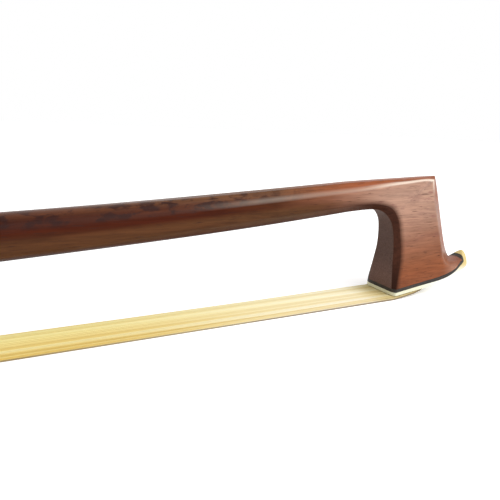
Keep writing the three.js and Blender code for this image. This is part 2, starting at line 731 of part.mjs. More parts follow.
function frogGeometry() {
  const arc = [];
  const arc_steps = 8;
  for (let k = 0; k <= arc_steps; k += 1) {
    const angle = -Math.PI / 2 - Math.PI * k / arc_steps;
    arc.push([
      ferrule_rear + frog_throat_radius * Math.cos(angle),
      ferrule_top + frog_throat_radius * (1 + Math.sin(angle)),
    ]);
  }
  const lip = arc.at(-1)[1];
  const side = [
    [0, 0], [ferrule_rear, 0], [ferrule_rear, ferrule_top], ...arc, [frog_front, lip],
    [frog_front, frog_rise], [0, frog_rise],
  ];
  const end_on = mirrored([
    [frog_half_width, 0], [frog_half_width, frog_shoulder], [frog_top_half_width, frog_rise],
  ]);
  const body = sidePanel(side, -frog_half_width, frog_half_width).intersect(bar(end_on, 0, frog_length));
  const throat_back = ferrule_rear - frog_throat_radius;
  const rounded = solidOf(loft([throat_back, ferrule_rear, ferrule_rear + overrun].map((x) => {
    const spread = x < ferrule_rear ? 1 : 0;
    const half = frog_half_width * (1 + spread * throat_spread_share);
    const top = ferrule_top + spread * (frog_rise - ferrule_top);
    return dOutline(half, -overrun, ferrule_shoulder, top).map(([y, z]) => [x, y, z]);
  })));
  const corners = cut(block(
    [throat_back + fixed_clearance, -frog_half_width - overrun, 0],
    [frog_length, frog_half_width + overrun, ferrule_top + frog_throat_radius],
  ), rounded);
  const tongue_half_width = ferrule_half_width - ferrule_wall - fixed_clearance;
  const tongue_top = ferrule_top - ferrule_wall - fixed_clearance;
  const tongue_outline = dOutline(tongue_half_width, tongue_floor, ferrule_shoulder + glue_line, tongue_top);
  const tongue = bar(tongue_outline, ferrule_rear - overrun, frog_length - fixed_clearance);

  const channel = bar(octagon(channel_radius, axis_in_frog), -overrun, frog_length);
  const track = bar(dovetail(0, slide_depth, fixed_clearance), slide_start - fixed_clearance, ferrule_rear);
  const track_mouth = block(
    [slide_start - fixed_clearance, -slide_half_width - fixed_clearance, -overrun],
    [ferrule_rear, slide_half_width + fixed_clearance, fixed_clearance],
  );
  const hair_way = block(
    [frog_mortise_start, -channel_half_width, pearl_thickness],
    [ferrule_rear + fixed_clearance, channel_half_width, hair_in_frog + hair_thickness],
  );
  const mortise = block(
    [frog_mortise_start, -frog_mortise_half_width, pearl_thickness],
    [frog_mortise_end, frog_mortise_half_width, frog_roof],
  );
  const shank = rod('z', eyelet_shank_radius + fixed_clearance,
    [eyelet_place, 0, channel_floor - eyelet_shank_length - fixed_clearance],
    eyelet_shank_length + underslide_outer);
  const plate_seat = heel_plate_thickness + fixed_clearance;
  const heel_seat = block(
    [-overrun, -2 * frog_half_width, -overrun],
    [plate_seat, 2 * frog_half_width, heel_plate_rise + fixed_clearance],
  );
  const bottom_seat = block(
    [-overrun, -2 * frog_half_width, -overrun],
    [heel_plate_length + fixed_clearance, 2 * frog_half_width, plate_seat],
  );
  const recess_radius = eye_radius + eye_ring_width + fixed_clearance;
  const eye_floor = frog_half_width - eye_depth;
  const far_recess = rod('y', recess_radius, [eye_place, eye_floor, eye_height], overrun);
  const near_recess = rod('y', recess_radius, [eye_place, -eye_floor - overrun, eye_height], overrun);
  const holes = pinPlaces().map(({ axis, from, length }) => {
    const start = from.slice();
    start['xyz'.indexOf(axis)] -= fixed_clearance;
    return rod(axis, pin_radius + fixed_clearance, start, length + 2 * fixed_clearance, small_sides);
  });
  const blank = join(cut(body, corners), tongue);
  const inner_cuts = [channel, track, track_mouth, hair_way, mortise, shank, ...holes];
  return geometryOf(cut(blank, ...inner_cuts, heel_seat, bottom_seat, far_recess, near_recess));
}

// Pins: two through the underslide, two through the upper heel plate and one through the lower.
function pinPlaces() {
  const slide_floor = axis_in_frog - underslide_inner;
  const throat_back = ferrule_rear - frog_throat_radius;
  const place = {
    underslide_pin_rear: [throat_back * pin_shares.rear, 0, slide_floor - fixed_clearance - pin_length],
    underslide_pin_front: [throat_back * pin_shares.front, 0, slide_floor - fixed_clearance - pin_length],
    heel_pin_upper: [0, 0, heel_plate_rise * pin_shares.upper],
    heel_pin_middle: [0, 0, heel_plate_rise * pin_shares.middle],
    heel_pin_lower: [heel_plate_length * pin_shares.lower, 0, 0],
  };
  return Object.entries(place).map(([name, from]) => {
    const axis = from[0] > 0 ? 'z' : 'x';
    return { name, axis, from, length: pin_length };
  });
}

function pinHole(name) {
  const { axis, from, length } = pinPlaces().find((pin) => pin.name === name);
  const start = from.slice();
  start['xyz'.indexOf(axis)] -= length;
  return rod(axis, pin_radius + fixed_clearance, start, 3 * length, small_sides);
}

function underslideGeometry() {
  const lining = cut(
    bar(octagon(underslide_outer, axis_in_frog), 0, frog_front),
    bar(octagon(underslide_inner, axis_in_frog), -overrun, frog_front + overrun),
    block(
      [-overrun, -2 * underslide_outer, frog_rise],
      [frog_length, 2 * underslide_outer, 2 * axis_in_frog],
    ),
    rod('z', eyelet_shank_radius + fixed_clearance, [eyelet_place, 0, channel_floor - overrun],
      underslide_outer),
    pinHole('underslide_pin_rear'),
    pinHole('underslide_pin_front'),
  );
  return geometryOf(lining);
}

function ferruleGeometry() {
  const outer = dOutline(ferrule_half_width, -ferrule_proud, ferrule_shoulder, ferrule_top);
  const inner = dOutline(ferrule_half_width - ferrule_wall, ferrule_floor, ferrule_shoulder,
    ferrule_top - ferrule_wall);
  const shell = bar(outer, ferrule_rear + fixed_clearance, frog_length);
  return geometryOf(cut(shell, bar(inner, ferrule_rear - overrun, frog_length + overrun)));
}

function heelPlateUpperGeometry() {
  const half = frog_half_width;
  const plate = block(
    [0, -half, heel_plate_thickness + fixed_clearance],
    [heel_plate_thickness, half, heel_plate_rise],
  );
  return geometryOf(cut(plate, pinHole('heel_pin_upper'), pinHole('heel_pin_middle')));
}

function heelPlateLowerGeometry() {
  const half = frog_half_width;
  const plate = block([0, -half, 0], [heel_plate_length, half, heel_plate_thickness]);
  return geometryOf(cut(plate, pinHole('heel_pin_lower')));
}

// The frog's hair: knot, fold over the wedge, run over the slide, and out through the ferrule.
function hairFrogEndGeometry() {
  const out = frog_length + hair_landing;
  const slope_start = ferrule_rear + fixed_clearance;
  const slope_end = slope_start + slope_length;
  const outline = [
    [frog_riser, hair_in_frog], [slope_start, hair_in_frog], [slope_end, hair_exit], [out, hair_exit],
    [out, hair_exit + hair_band], [slope_end, hair_exit + hair_band],
    [slope_start, hair_in_frog + hair_band], [frog_riser + hair_band, hair_in_frog + hair_band],
    [frog_riser + hair_band, frog_knot_z], [frog_riser, frog_knot_z],
  ];
  const tucked = frog_mortise_half_width - fixed_clearance;
  const channelled = channel_half_width - fixed_clearance;
  const plan = planStrip([
    [0, tucked], [frog_riser + knot_radius, tucked], [frog_mortise_end, channelled],
    [slope_start, channelled], [frog_length, hair_half_width], [out, hair_half_width],
  ], -overrun, frog_rise);
  const run = sidePanel(outline, -frog_half_width, frog_half_width).intersect(plan);
  const knot_length = (frog_mortise_end - frog_mortise_start) / 2;
  return geometryOf(join(run, rod('x', knot_radius, [frog_riser, 0, frog_knot_z], knot_length, small_sides)));
}

function frogBindingGeometry() {
  const inner = knot_radius + fixed_clearance;
  const from = [frog_riser + hair_band + binding_width, 0, frog_knot_z];
  return geometryOf(washer('x', inner, inner + binding_thickness, from, binding_width, small_sides));
}

function frogWedgeGeometry() {
  const floor = hair_in_frog + hair_band + fixed_clearance;
  return geometryOf(block(
    [frog_riser + hair_band + fixed_clearance, -frog_mortise_half_width + fixed_clearance, floor],
    [frog_mortise_end - fixed_clearance, frog_mortise_half_width - fixed_clearance, floor + frog_wedge_rise],
  ));
}

function spreadWedgeGeometry() {
  const start = ferrule_rear + 2 * fixed_clearance + slope_length;
  const floor = hair_exit + hair_band + fixed_clearance;
  const outline = [
    [start, floor], [frog_length - fixed_clearance, floor],
    [frog_length - fixed_clearance, tongue_floor - fixed_clearance],
    [start, tongue_floor - 2 * fixed_clearance],
  ];
  return geometryOf(sidePanel(outline, -hair_half_width, hair_half_width));
}

function eyeGeometry(side, inner, outer) {
  const length = eye_depth - fixed_clearance;
  const start = side > 0 ? frog_half_width - length : -frog_half_width;
  const from = [eye_place, start, eye_height];
  const disc = inner > 0 ? washer('y', inner, outer, from, length) : rod('y', outer, from, length);
  return geometryOf(disc);
}

function eyeletGeometry() {
  const from_x = eyelet_place - eyelet_length / 2;
  const barrel = rod('x', eyelet_top, [from_x, 0, axis_in_frog], eyelet_length);
  const neck_floor = axis_in_frog - underslide_inner + fixed_clearance;
  const neck = block([from_x, -eyelet_top, neck_floor], [from_x + eyelet_length, eyelet_top, axis_in_frog]);
  const flats = block(
    [from_x - overrun, -eyelet_half_width, neck_floor],
    [from_x + eyelet_length + overrun, eyelet_half_width, axis_in_frog + 2 * eyelet_top],
  );
  const hole = rod('x', eyelet_hole_radius, [from_x - overrun, 0, axis_in_frog], eyelet_length + 2 * overrun);
  const shank_floor = channel_floor - eyelet_shank_length;
  const shank_length = neck_floor - shank_floor + eyelet_wall / 2;
  const shank = rod('z', eyelet_shank_radius, [eyelet_place, 0, shank_floor], shank_length);
  return geometryOf(cut(join(join(barrel, neck).intersect(flats), shank), hole));
}

// The button's frame: x is zero at the butt face, and z on the screw's axis.
const collar_face = -turn_clearance;
const collar_rear = collar_face - button_collar_length;
const barrel_front = collar_rear - fixed_clearance;
const barrel_rear = barrel_front - button_barrel_length;
const cap_front = barrel_rear - fixed_clearance;
const cap_end = cap_front - button_cap_length;
const core_end = cap_end + cap_wall;
const screw_end = barrel_rear - (barrel_rear - core_end) / 2;
const collar_pin_x = collar_rear + collar_pocket / 2;
const cap_pin_x = (cap_front + core_end) / 2;

function buttonPin(x, room = 0) {
  const from = [x, 0, -button_radius + barrel_step - room];
  return rod('z', button_pin_radius + room, from, button_pin_length + 2 * room, small_sides);
}

function buttonPinHole(x) {
  const from = [x, 0, -2 * button_radius];
  const length = button_radius + barrel_step + button_pin_length + fixed_clearance;
  return rod('z', button_pin_radius + fixed_clearance, from, length, small_sides);
}

function buttonCoreGeometry() {
  const tenon_rear = core_end + fixed_clearance;
  const tenon_front = collar_rear + collar_pocket - fixed_clearance;
  const tenon = rod('x', button_tenon_radius, [tenon_rear, 0, 0], tenon_front - tenon_rear);
  const barrel = bar(octagon(button_radius - barrel_step), barrel_rear, barrel_front);
  const bore_end = [screw_end - fixed_clearance, 0, 0];
  const bore = rod('x', screw_radius + fixed_clearance, bore_end, overrun - screw_end);
  return geometryOf(cut(join(barrel, tenon), bore, buttonPinHole(collar_pin_x), buttonPinHole(cap_pin_x)));
}

function buttonCollarGeometry() {
  const ring = bar(octagon(button_radius), collar_rear, collar_face);
  const nipple_room = rod('x', nipple_radius + mortise_side_clearance, [collar_face - nipple_length, 0, 0],
    nipple_length + overrun);
  const behind = [collar_rear - overrun, 0, 0];
  const seat = rod('x', button_tenon_radius + fixed_clearance, behind, collar_pocket + overrun);
  const way = rod('x', screw_radius + fixed_clearance, behind, button_collar_length + 2 * overrun);
  return geometryOf(cut(ring, nipple_room, seat, way, buttonPinHole(collar_pin_x)));
}

function buttonCapGeometry() {
  const ring = bar(octagon(button_radius), cap_end, cap_front);
  const seat_length = cap_front - core_end + overrun;
  const seat = rod('x', button_tenon_radius + fixed_clearance, [core_end, 0, 0], seat_length);
  const window_hole = rod('x', button_pearl_radius + fixed_clearance, [cap_end - overrun, 0, 0], 2 * overrun);
  return geometryOf(cut(ring, seat, window_hole, buttonPinHole(cap_pin_x)));
}

function buttonPearlGeometry() {
  return geometryOf(rod('x', button_pearl_radius, [cap_end, 0, 0], cap_wall));
}

function screwGeometry() {
  const shaft = rod('x', screw_radius, [screw_end, 0, 0], screw_tip_start - screw_end);
  const tip_from = [screw_tip_start - overrun, 0, 0];
  const tip = rod('x', screw_tip_radius, tip_from, screw_tip_length + overrun - turn_clearance);
  return geometryOf(join(shaft, tip));
}

// The free hair: one ribbon with shallow ridges along its top, in a frame at its frog end.
const ribbon_start = frog_heel + frog_length + hair_landing + hair_gap;
const ribbon_run = head_x - hair_landing - hair_gap - ribbon_start;
const ribbon_start_z = frog_floor_z + hair_exit;
const ribbon_fall = ribbon_start_z - rest_z;

function hairRibbonGeometry() {
  const outline = [[-hair_half_width, 0], [hair_half_width, 0]];
  for (let k = 0; k <= 2 * hair_ridges; k += 1) {
    const valley = k % 2 === 0 ? ridge_height : 0;
    outline.push([hair_half_width * (1 - k / hair_ridges), hair_band - valley]);
  }
  return geometryOf(bar(outline, 0, Math.hypot(ribbon_run, ribbon_fall)));
}

const bow = new THREE.Group();

const stick_group = new THREE.Group();
bow.add(stick_group);
addPiece(stick_group, 'stick', stickGeometry(), 'stick_wood');
addPiece(stick_group, 'hair_head_end', hairHeadEndGeometry(), 'horsehair');
const ribbon = addPiece(stick_group, 'hair_ribbon', hairRibbonGeometry(), 'horsehair');
ribbon.position.set(ribbon_start, 0, ribbon_start_z);
ribbon.rotation.y = Math.atan2(ribbon_fall, ribbon_run);
addPiece(stick_group, 'lapping_dark', lappingGeometry(0, 'lapping_dark'), 'lapping_brown');
addPiece(stick_group, 'lapping_light', lappingGeometry(0.5, 'lapping_light'), 'lapping_cream');
addPiece(stick_group, 'thumb_leather', leatherGeometry(), 'leather');

const head_group = new THREE.Group();
head_group.position.set(head_x, 0, 0);
head_group.rotation.y = -head_tilt;
stick_group.add(head_group);
addPiece(head_group, 'head_liner', headLayer(liner_outline), 'liner_black');
addPiece(head_group, 'head_plate', headLayer(plate_outline), 'ivory_white');
addPiece(head_group, 'head_wedge', headWedgeGeometry(), 'plug_wood');
addPiece(head_group, 'head_binding', headBindingGeometry(), 'thread');

const frog_group = new THREE.Group();
frog_group.position.set(frog_heel, 0, frog_floor_z);
bow.add(frog_group);
addPiece(frog_group, 'frog', frogGeometry(), 'blackwood');
addPiece(frog_group, 'underslide', underslideGeometry(), 'nickel_silver');
addPiece(frog_group, 'ferrule', ferruleGeometry(), 'nickel_silver');
const slideLayer = (outline) => geometryOf(bar(outline, slide_start, slide_end));
const backing_outline = dovetail(pearl_thickness + fixed_clearance, slide_depth);
addPiece(frog_group, 'pearl_slide', slideLayer(dovetail(0, pearl_thickness)), 'pearl');
addPiece(frog_group, 'slide_backing', slideLayer(backing_outline), 'blackwood');
addPiece(frog_group, 'heel_plate_upper', heelPlateUpperGeometry(), 'nickel_silver');
addPiece(frog_group, 'heel_plate_lower', heelPlateLowerGeometry(), 'nickel_silver');
for (const { name, axis, from, length } of pinPlaces()) {
  addPiece(frog_group, name, geometryOf(rod(axis, pin_radius, from, length, small_sides)), 'nickel_silver');
}
addPiece(frog_group, 'frog_wedge', frogWedgeGeometry(), 'plug_wood');
addPiece(frog_group, 'spread_wedge', spreadWedgeGeometry(), 'plug_wood');
addPiece(frog_group, 'hair_frog_end', hairFrogEndGeometry(), 'horsehair');
addPiece(frog_group, 'frog_binding', frogBindingGeometry(), 'thread');
for (const [name, side] of [['near', -1], ['far', 1]]) {
  const ring = eyeGeometry(side, eye_radius + fixed_clearance, eye_radius + eye_ring_width);
  addPiece(frog_group, `eye_${name}`, eyeGeometry(side, 0, eye_radius), 'pearl');
  addPiece(frog_group, `eye_ring_${name}`, ring, 'nickel_silver');
}
addPiece(frog_group, 'eyelet', eyeletGeometry(), 'brass');

const button_group = new THREE.Group();
button_group.position.set(0, 0, axis_at_frog);
bow.add(button_group);
addPiece(button_group, 'adjusting_screw', screwGeometry(), 'steel');
addPiece(button_group, 'button_core', buttonCoreGeometry(), 'blackwood');
addPiece(button_group, 'button_collar', buttonCollarGeometry(), 'nickel_silver');
addPiece(button_group, 'button_cap', buttonCapGeometry(), 'nickel_silver');
addPiece(button_group, 'button_pearl', buttonPearlGeometry(), 'pearl');
addPiece(button_group, 'button_pin_front', geometryOf(buttonPin(collar_pin_x)), 'nickel_silver');
addPiece(button_group, 'button_pin_rear', geometryOf(buttonPin(cap_pin_x)), 'nickel_silver');

// The origin is the middle of the bow's footprint, on the surface that it stands on.
const bounds = new THREE.Box3().setFromObject(bow, true);
const middle = bounds.getCenter(new THREE.Vector3());
bow.position.set(-middle.x, -middle.y, -bounds.min.z);

export default bow;
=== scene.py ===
"""Dresses the violin bow: fine wood, plate, hair, lapping, frog and button on the packed solids."""
import json
import math
import random

import bmesh
import bpy
from mathutils import Matrix, Vector
from mathutils.bvhtree import BVHTree
from mathutils.interpolate import poly_3d_calc


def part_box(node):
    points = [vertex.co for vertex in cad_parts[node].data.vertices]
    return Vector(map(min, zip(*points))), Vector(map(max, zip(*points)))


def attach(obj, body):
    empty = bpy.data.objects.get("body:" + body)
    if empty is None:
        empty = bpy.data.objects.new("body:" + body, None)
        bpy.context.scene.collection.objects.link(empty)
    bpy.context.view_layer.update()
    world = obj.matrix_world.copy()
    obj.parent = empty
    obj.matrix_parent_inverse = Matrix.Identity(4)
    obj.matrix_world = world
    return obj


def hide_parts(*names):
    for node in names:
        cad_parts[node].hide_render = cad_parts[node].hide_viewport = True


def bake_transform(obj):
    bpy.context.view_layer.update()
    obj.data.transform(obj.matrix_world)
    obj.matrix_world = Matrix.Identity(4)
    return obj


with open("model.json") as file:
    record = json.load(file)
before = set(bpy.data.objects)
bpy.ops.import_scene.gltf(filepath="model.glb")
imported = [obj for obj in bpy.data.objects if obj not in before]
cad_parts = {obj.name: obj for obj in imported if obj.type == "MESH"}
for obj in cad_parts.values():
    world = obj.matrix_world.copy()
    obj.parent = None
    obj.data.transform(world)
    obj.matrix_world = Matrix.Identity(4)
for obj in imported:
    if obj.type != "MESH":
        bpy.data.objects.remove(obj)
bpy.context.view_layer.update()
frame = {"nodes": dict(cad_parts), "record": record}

bl_info = {
    "name": "Violin Bow",
    "version": (1, 0, 0),
    "blender": (4, 5, 0),
    "location": "View3D > Sidebar > Violin Bow",
    "description": "Builds the dressed violin bow, piece by piece, around its solids",
    "category": "Object",
}

# Lengths along the bow from the stick's butt face, and heights from the head plate's underside
FROG_HEEL = 0.008
FROG_LENGTH = 0.045
FROG_NOSE = FROG_HEEL + FROG_LENGTH
HAIR_LENGTH = 0.648
HEAD_X = FROG_NOSE + HAIR_LENGTH
HAIR_THICKNESS = 0.0008
HAIR_LANDING = 0.004
HANDLE_LENGTH = 0.110
TAPER_LENGTH = HEAD_X - HANDLE_LENGTH
TAPER_REACH = 0.120
CAMBER_LENGTH = HEAD_X - 0.101
AXIS_AT_FROG = 0.02308
AXIS_AT_HEAD = 0.02176
CAMBER_SLOPE = 0.0945
FACET_LENGTH = 0.062
FACET_FADE = 0.022
HEAD_FACETS = 0.026
HEAD_FADE = 0.078
THROAT_REACH = 0.0092
PLATE_THICKNESS = 0.00074
LINER_THICKNESS = 0.00066
LINER_THINNED = 0.0003
GLUE_LINE = 0.00005
FROG_FLOOR = -HAIR_THICKNESS + 0.00025

# Where the bow's own frame lies in the row frame
LANDING_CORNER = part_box("hair_head_end")[0]
OFFSET = Vector((
    LANDING_CORNER.x - HEAD_X + HAIR_LANDING,
    0.0,
    LANDING_CORNER.z + HAIR_THICKNESS,
))


# Sizes and colours that a user would change

def length(name, description, default):
    return bpy.props.FloatProperty(
        name=name, description=description, default=default, min=0.0,
        unit="LENGTH", subtype="DISTANCE", precision=5,
    )


def colour(name, description, default):
    return bpy.props.FloatVectorProperty(
        name=name, description=description, default=default, size=3,
        min=0.0, max=1.0, subtype="COLOR",
    )


class BowStickSettings(bpy.types.PropertyGroup):
    """Sizes and colours of the stick and its head"""
    handle_radius: length("Handle radius", "Half the width across the flats at the handle", 0.0045)
    throat_radius: length("Throat radius", "Half the width just behind the head", 0.00272)
    edge_wear: length("Edge wear", "How far each facet edge is worn down", 0.00028)
    head_length: length("Head length", "From the plate's rear edge to the tip of the nose", 0.0254)
    plate_half_width: length("Plate half width", "Half the width of the head plate", 0.00465)
    head_tilt: bpy.props.FloatProperty(
        name="Head tilt", description="Rise of the plate towards the nose", default=0.1,
        subtype="ANGLE", unit="ROTATION",
    )
    wood: colour("Wood", "Colour of the wood low on the head's cheeks", (0.248, 0.078, 0.03))
    # The Bloom colour is a painted sheen: the varnish's sheen high on the cheeks, painted as paler wood
    painted_sheen: colour("Bloom", "Paler, rubbed wood high on the cheeks", (0.465, 0.288, 0.212))
    wood_dark: colour("Dark pores", "Colour of the pores and flecks", (0.04, 0.015, 0.012))
    fleck: colour("Purple flecks", "Colour of the flecks on the pale cheeks", (0.33, 0.19, 0.2))
    # The Worn edges colour is a painted highlight along the edges between the cheeks and the top bevels
    shoulder_highlight: colour("Worn edges", "Colour of the worn edges", (0.98, 0.84, 0.7))
    top: colour("Top", "Colour of the bevels along the head's top", (0.288, 0.086, 0.032))
    nose: colour("Nose", "Greyer wood on top of the nose", (0.235, 0.112, 0.08))
    # Painted reflection of the pale floor low on the stick's sides
    belly_reflection: colour("Belly", "Colour low on the stick's sides", (0.107, 0.044, 0.0175))
    # Away from the head: darker wood with painted shade, and the top lighter than the sides by painted
    # light from above
    far_side_shaded: colour("Old side", "The stick's sides away from the head", (0.043, 0.0095, 0.0045))
    far_top_lit: colour("Old top", "The stick's top away from the head", (0.093, 0.03, 0.012))
    red: colour("Red band", "The redder band along the stick's flanks", (0.06, 0.0115, 0.0042))
    blotch: colour("Blotches", "The dark clouds in the stick's wood", (0.028, 0.0085, 0.0065))
    # Painted shade on the lower bevels beside the head's rear face, and along the stick's underside
    lower_shade: colour("Chamfer", "The bevels beside the head's rear face", (0.058, 0.02, 0.0115))
    rear: colour("Rear face", "Colour of the head's bare rear face", (0.115, 0.07, 0.058))
    plate: colour("Plate", "Colour of the head plate", (0.85, 0.84, 0.62))
    # Painted highlight on the plate's front half
    plate_front_highlight: colour("Plate front", "Paler front half of the head plate", (0.94, 0.94, 0.85))
    # Colour of the plate's fine lines, and painted warm shade on its curled-up tip
    plate_lines_and_tip_shade: colour("Plate tip", "Colour of the yellowed tip", (0.68, 0.52, 0.2))
    liner: colour("Liner", "Colour of the thin layer over the plate", (0.02, 0.0155, 0.0125))


class BowHairSettings(bpy.types.PropertyGroup):
    """Sizes and colours of the hair"""
    half_width: length("Half width", "Half the width of the hair's ribbon", 0.0046)
    strand_radius: length("Strand radius", "Radius of one hair", 0.00009)
    strands: bpy.props.IntProperty(
        name="Strands", description="Number of single hairs", default=220, min=20, max=400)
    palest: colour("Palest hair", "Colour of the palest bands of hair", (0.97, 0.94, 0.66))
    pale: colour("Pale hair", "Colour of the pale hairs", (0.95, 0.87, 0.48))
    golden: colour("Golden hair", "Colour of the darker hairs", (0.74, 0.55, 0.185))
    # The brown of the stray hairs is painted shadow along the hair's near lower edge
    brown: colour("Brown hair", "Colour of the stray hairs at the edge", (0.16, 0.09, 0.035))


class BowGripSettings(bpy.types.PropertyGroup):
    """Sizes and colours of the thumb leather and the lapping"""
    leather_thickness: length("Leather thickness", "Thickness of the thumb leather", 0.0009)
    band_width: length("Band width", "Width of each band of the lapping", 0.00185)
    band_thickness: length("Band thickness", "Thickness of each band", 0.00038)
    leather: colour("Leather", "Colour of the thumb leather", (0.035, 0.018, 0.011))
    dark_band: colour("Dark band", "Colour of the lapping's dark band", (0.045, 0.022, 0.012))
    light_band: colour("Light band", "Colour of the lapping's light band", (0.68, 0.53, 0.27))


class BowFittingSettings(bpy.types.PropertyGroup):
    """Colours of the frog, the button and their fittings"""
    blackwood: colour("Blackwood", "Colour of the frog's wood", (0.014, 0.011, 0.0095))
    metal: colour("Metal", "Colour of the silvery fittings", (0.66, 0.64, 0.58))
    brass: colour("Brass", "Colour of the eyelet", (0.52, 0.35, 0.11))
    steel: colour("Steel", "Colour of the screw", (0.42, 0.42, 0.42))
    pearl_white: colour("White pearl", "Palest colour of the pearl shell", (0.84, 0.84, 0.8))
    pearl_blue: colour("Blue pearl", "Bluish colour of the pearl shell", (0.68, 0.78, 0.76))
    pearl_pink: colour("Pink pearl", "Pinkish colour of the pearl shell", (0.82, 0.7, 0.71))
    pearl_green: colour("Green pearl", "Greenish colour of the pearl shell", (0.58, 0.72, 0.56))
    plug: colour("Plug wood", "Colour of the wedges", (0.56, 0.38, 0.19))
    thread: colour("Thread", "Colour of the knots' binding", (0.42, 0.07, 0.04))


class BowStageSettings(bpy.types.PropertyGroup):
    """Light, floor and camera"""
    lens: bpy.props.FloatProperty(
        name="Lens", description="Focal length of the camera in millimetres", default=35.435)
    floor_size: length("Floor size", "Side of the square floor", 6.0)
    key_power: bpy.props.FloatProperty(
        name="Key light", description="Power of the large lamp above", default=23.0, unit="POWER")
    fill: bpy.props.FloatProperty(
        name="Fill light", description="Strength of the light from all around", default=0.59)


SETTINGS = {
    "bow_stick": BowStickSettings,
    "bow_hair": BowHairSettings,
    "bow_grip": BowGripSettings,
    "bow_fittings": BowFittingSettings,
    "bow_stage": BowStageSettings,
}


def settings(name):
    return getattr(bpy.context.scene, name)


# Mesh helpers

def piece_from(name, points, faces, material=None, smooth=None):
    """A new piece with its points in the bow's frame."""
    mesh = bpy.data.meshes.new(name)
    mesh.from_pydata([tuple(Vector(p[:3]) + OFFSET) for p in points], [], faces)
    if material:
        mesh.materials.append(material)
    mesh.validate()
    piece = bpy.data.objects.new(name, mesh)
    bpy.context.scene.collection.objects.link(piece)
    if smooth is not None:
        soften(piece, smooth)
    return piece


def soften(piece, angle):
    """Smooth shading that keeps edges sharper than the angle."""
    mesh = piece.data
    mesh.polygons.foreach_set("use_smooth", [True] * len(mesh.polygons))
    work = bmesh.new()
    work.from_mesh(mesh)
    for edge in work.edges:
        edge.smooth = len(edge.link_faces) != 2 or edge.calc_face_angle(0.0) < math.radians(angle)
    work.to_mesh(mesh)
    work.free()


def fix_normals(piece):
    """Turns the piece's faces outward."""
    work = bmesh.new()
    work.from_mesh(piece.data)
    bmesh.ops.recalc_face_normals(work, faces=work.faces)
    work.to_mesh(piece.data)
    work.free()
    return piece


def settle(piece):
    """Applies the piece's modifiers to its mesh."""
    graph = bpy.context.evaluated_depsgraph_get()
    mesh = bpy.data.meshes.new_from_object(piece.evaluated_get(graph))
    old = piece.data
    piece.modifiers.clear()
    piece.data = mesh
    mesh.name = piece.name
    bpy.data.meshes.remove(old)


def carve(piece, cutter, operation="DIFFERENCE"):
    """Cuts, joins or intersects the piece with a cutter, which is then removed."""
    tool = piece.modifiers.new("carve", "BOOLEAN")
    tool.operation = operation
    tool.solver = "EXACT"
    tool.object = cutter
    settle(piece)
    mesh = cutter.data
    bpy.data.objects.remove(cutter)
    bpy.data.meshes.remove(mesh)


def round_edges(piece, width, segments, angle):
    """Bevels the piece's edges that are sharper than the angle."""
    tool = piece.modifiers.new("edges", "BEVEL")
    tool.width = width
    tool.segments = segments
    tool.limit_method = "ANGLE"
    tool.angle_limit = math.radians(angle)
    tool.use_clamp_overlap = True
    settle(piece)


def mark(piece, name, values):
    """Keeps one number for each point of the piece."""
    attribute = piece.data.attributes.new(name, "FLOAT", "POINT")
    attribute.data.foreach_set("value", values)


def loft(rings, joined=False, flipped=False):
    """Points and faces of a skin over rings of equal count, with flat ends or joined end to end."""
    count = len(rings[0])
    total = len(rings)
    faces = []
    for r in range(total if joined else total - 1):
        a = r * count
        b = (r + 1) % total * count
        for k in range(count):
            n = (k + 1) % count
            faces.append((a + n, a + k, b + k, b + n) if flipped else (a + k, a + n, b + n, b + k))
    if not joined:
        ends = [tuple(range(count - 1, -1, -1)), tuple(range((total - 1) * count, total * count))]
        faces += [end[::-1] for end in ends] if flipped else ends
    return [p for ring in rings for p in ring], faces


def side_cutter(outline, half):
    """A cutter as wide as twice the half, with its outline in the XZ plane."""
    rings = [[(x, y, z) for x, z in outline] for y in (-half, half)]
    return fix_normals(piece_from("cutter", *loft(rings)))


def rectangle(low_x, low_z, high_x, high_z):
    return [(low_x, low_z), (high_x, low_z), (high_x, high_z), (low_x, high_z)]


def rod(radius, start, reach):
    """A round cutter on the stick's axis at the handle."""
    turns = [k * (2 * math.pi / ROD_SIDES) for k in range(ROD_SIDES)]
    rings = [
        [(x, radius * math.cos(turn), AXIS_AT_FROG + radius * math.sin(turn)) for turn in turns]
        for x in (start, start + reach)
    ]
    return fix_normals(piece_from("cutter", *loft(rings)))


def smoothstep(value, low, high):
    """Rises from 0 at low to 1 at high, which may also be the smaller."""
    t = min(max((value - low) / (high - low), 0.0), 1.0)
    return t * t * (3 - 2 * t)


# The stick's form

OCTAGON = math.tan(math.pi / 8)
CORNER_PLACES = (0.5, 0.5, 1.5, 2.5, 3.5, 3.5, 2.5, 1.5)
SHOULDER_CORNERS = (3, 6)
LOWER_CORNERS = (2, 7)
CORNER_LIMIT = 0.45
CORNER_SEGMENTS = 3
FACET_STEPS = ((0.0003, 0.1), (0.001, 0.25), (0.0025, 0.42))
FAR_FROM_CORNER = 1.0
STATION_GAP = 0.008
CLOSE_STATIONS = HEAD_X - 0.09
FADE_STATIONS = 6

# Cuts in the handle: the end's nipple, the eyelet's slot, and the screw's bores
ROD_SIDES = 32
NIPPLE = (0.0026, -0.0014, 0.0034)
EYELET_SLOT = (0.0257, 0.01408, 0.0393, 0.02578)
EYELET_SLOT_HALF = 0.00215
SCREW_BORES = ((0.0014, -0.004, 0.032), (0.0012, 0.036, 0.0103))


def stick_radius(sizes, x):
    behind = max(HEAD_X - x, 0.0)
    if behind >= TAPER_LENGTH:
        return sizes.handle_radius
    growth = (1 - math.exp(-behind / TAPER_REACH)) / (1 - math.exp(-TAPER_LENGTH / TAPER_REACH))
    return sizes.throat_radius + (sizes.handle_radius - sizes.throat_radius) * growth


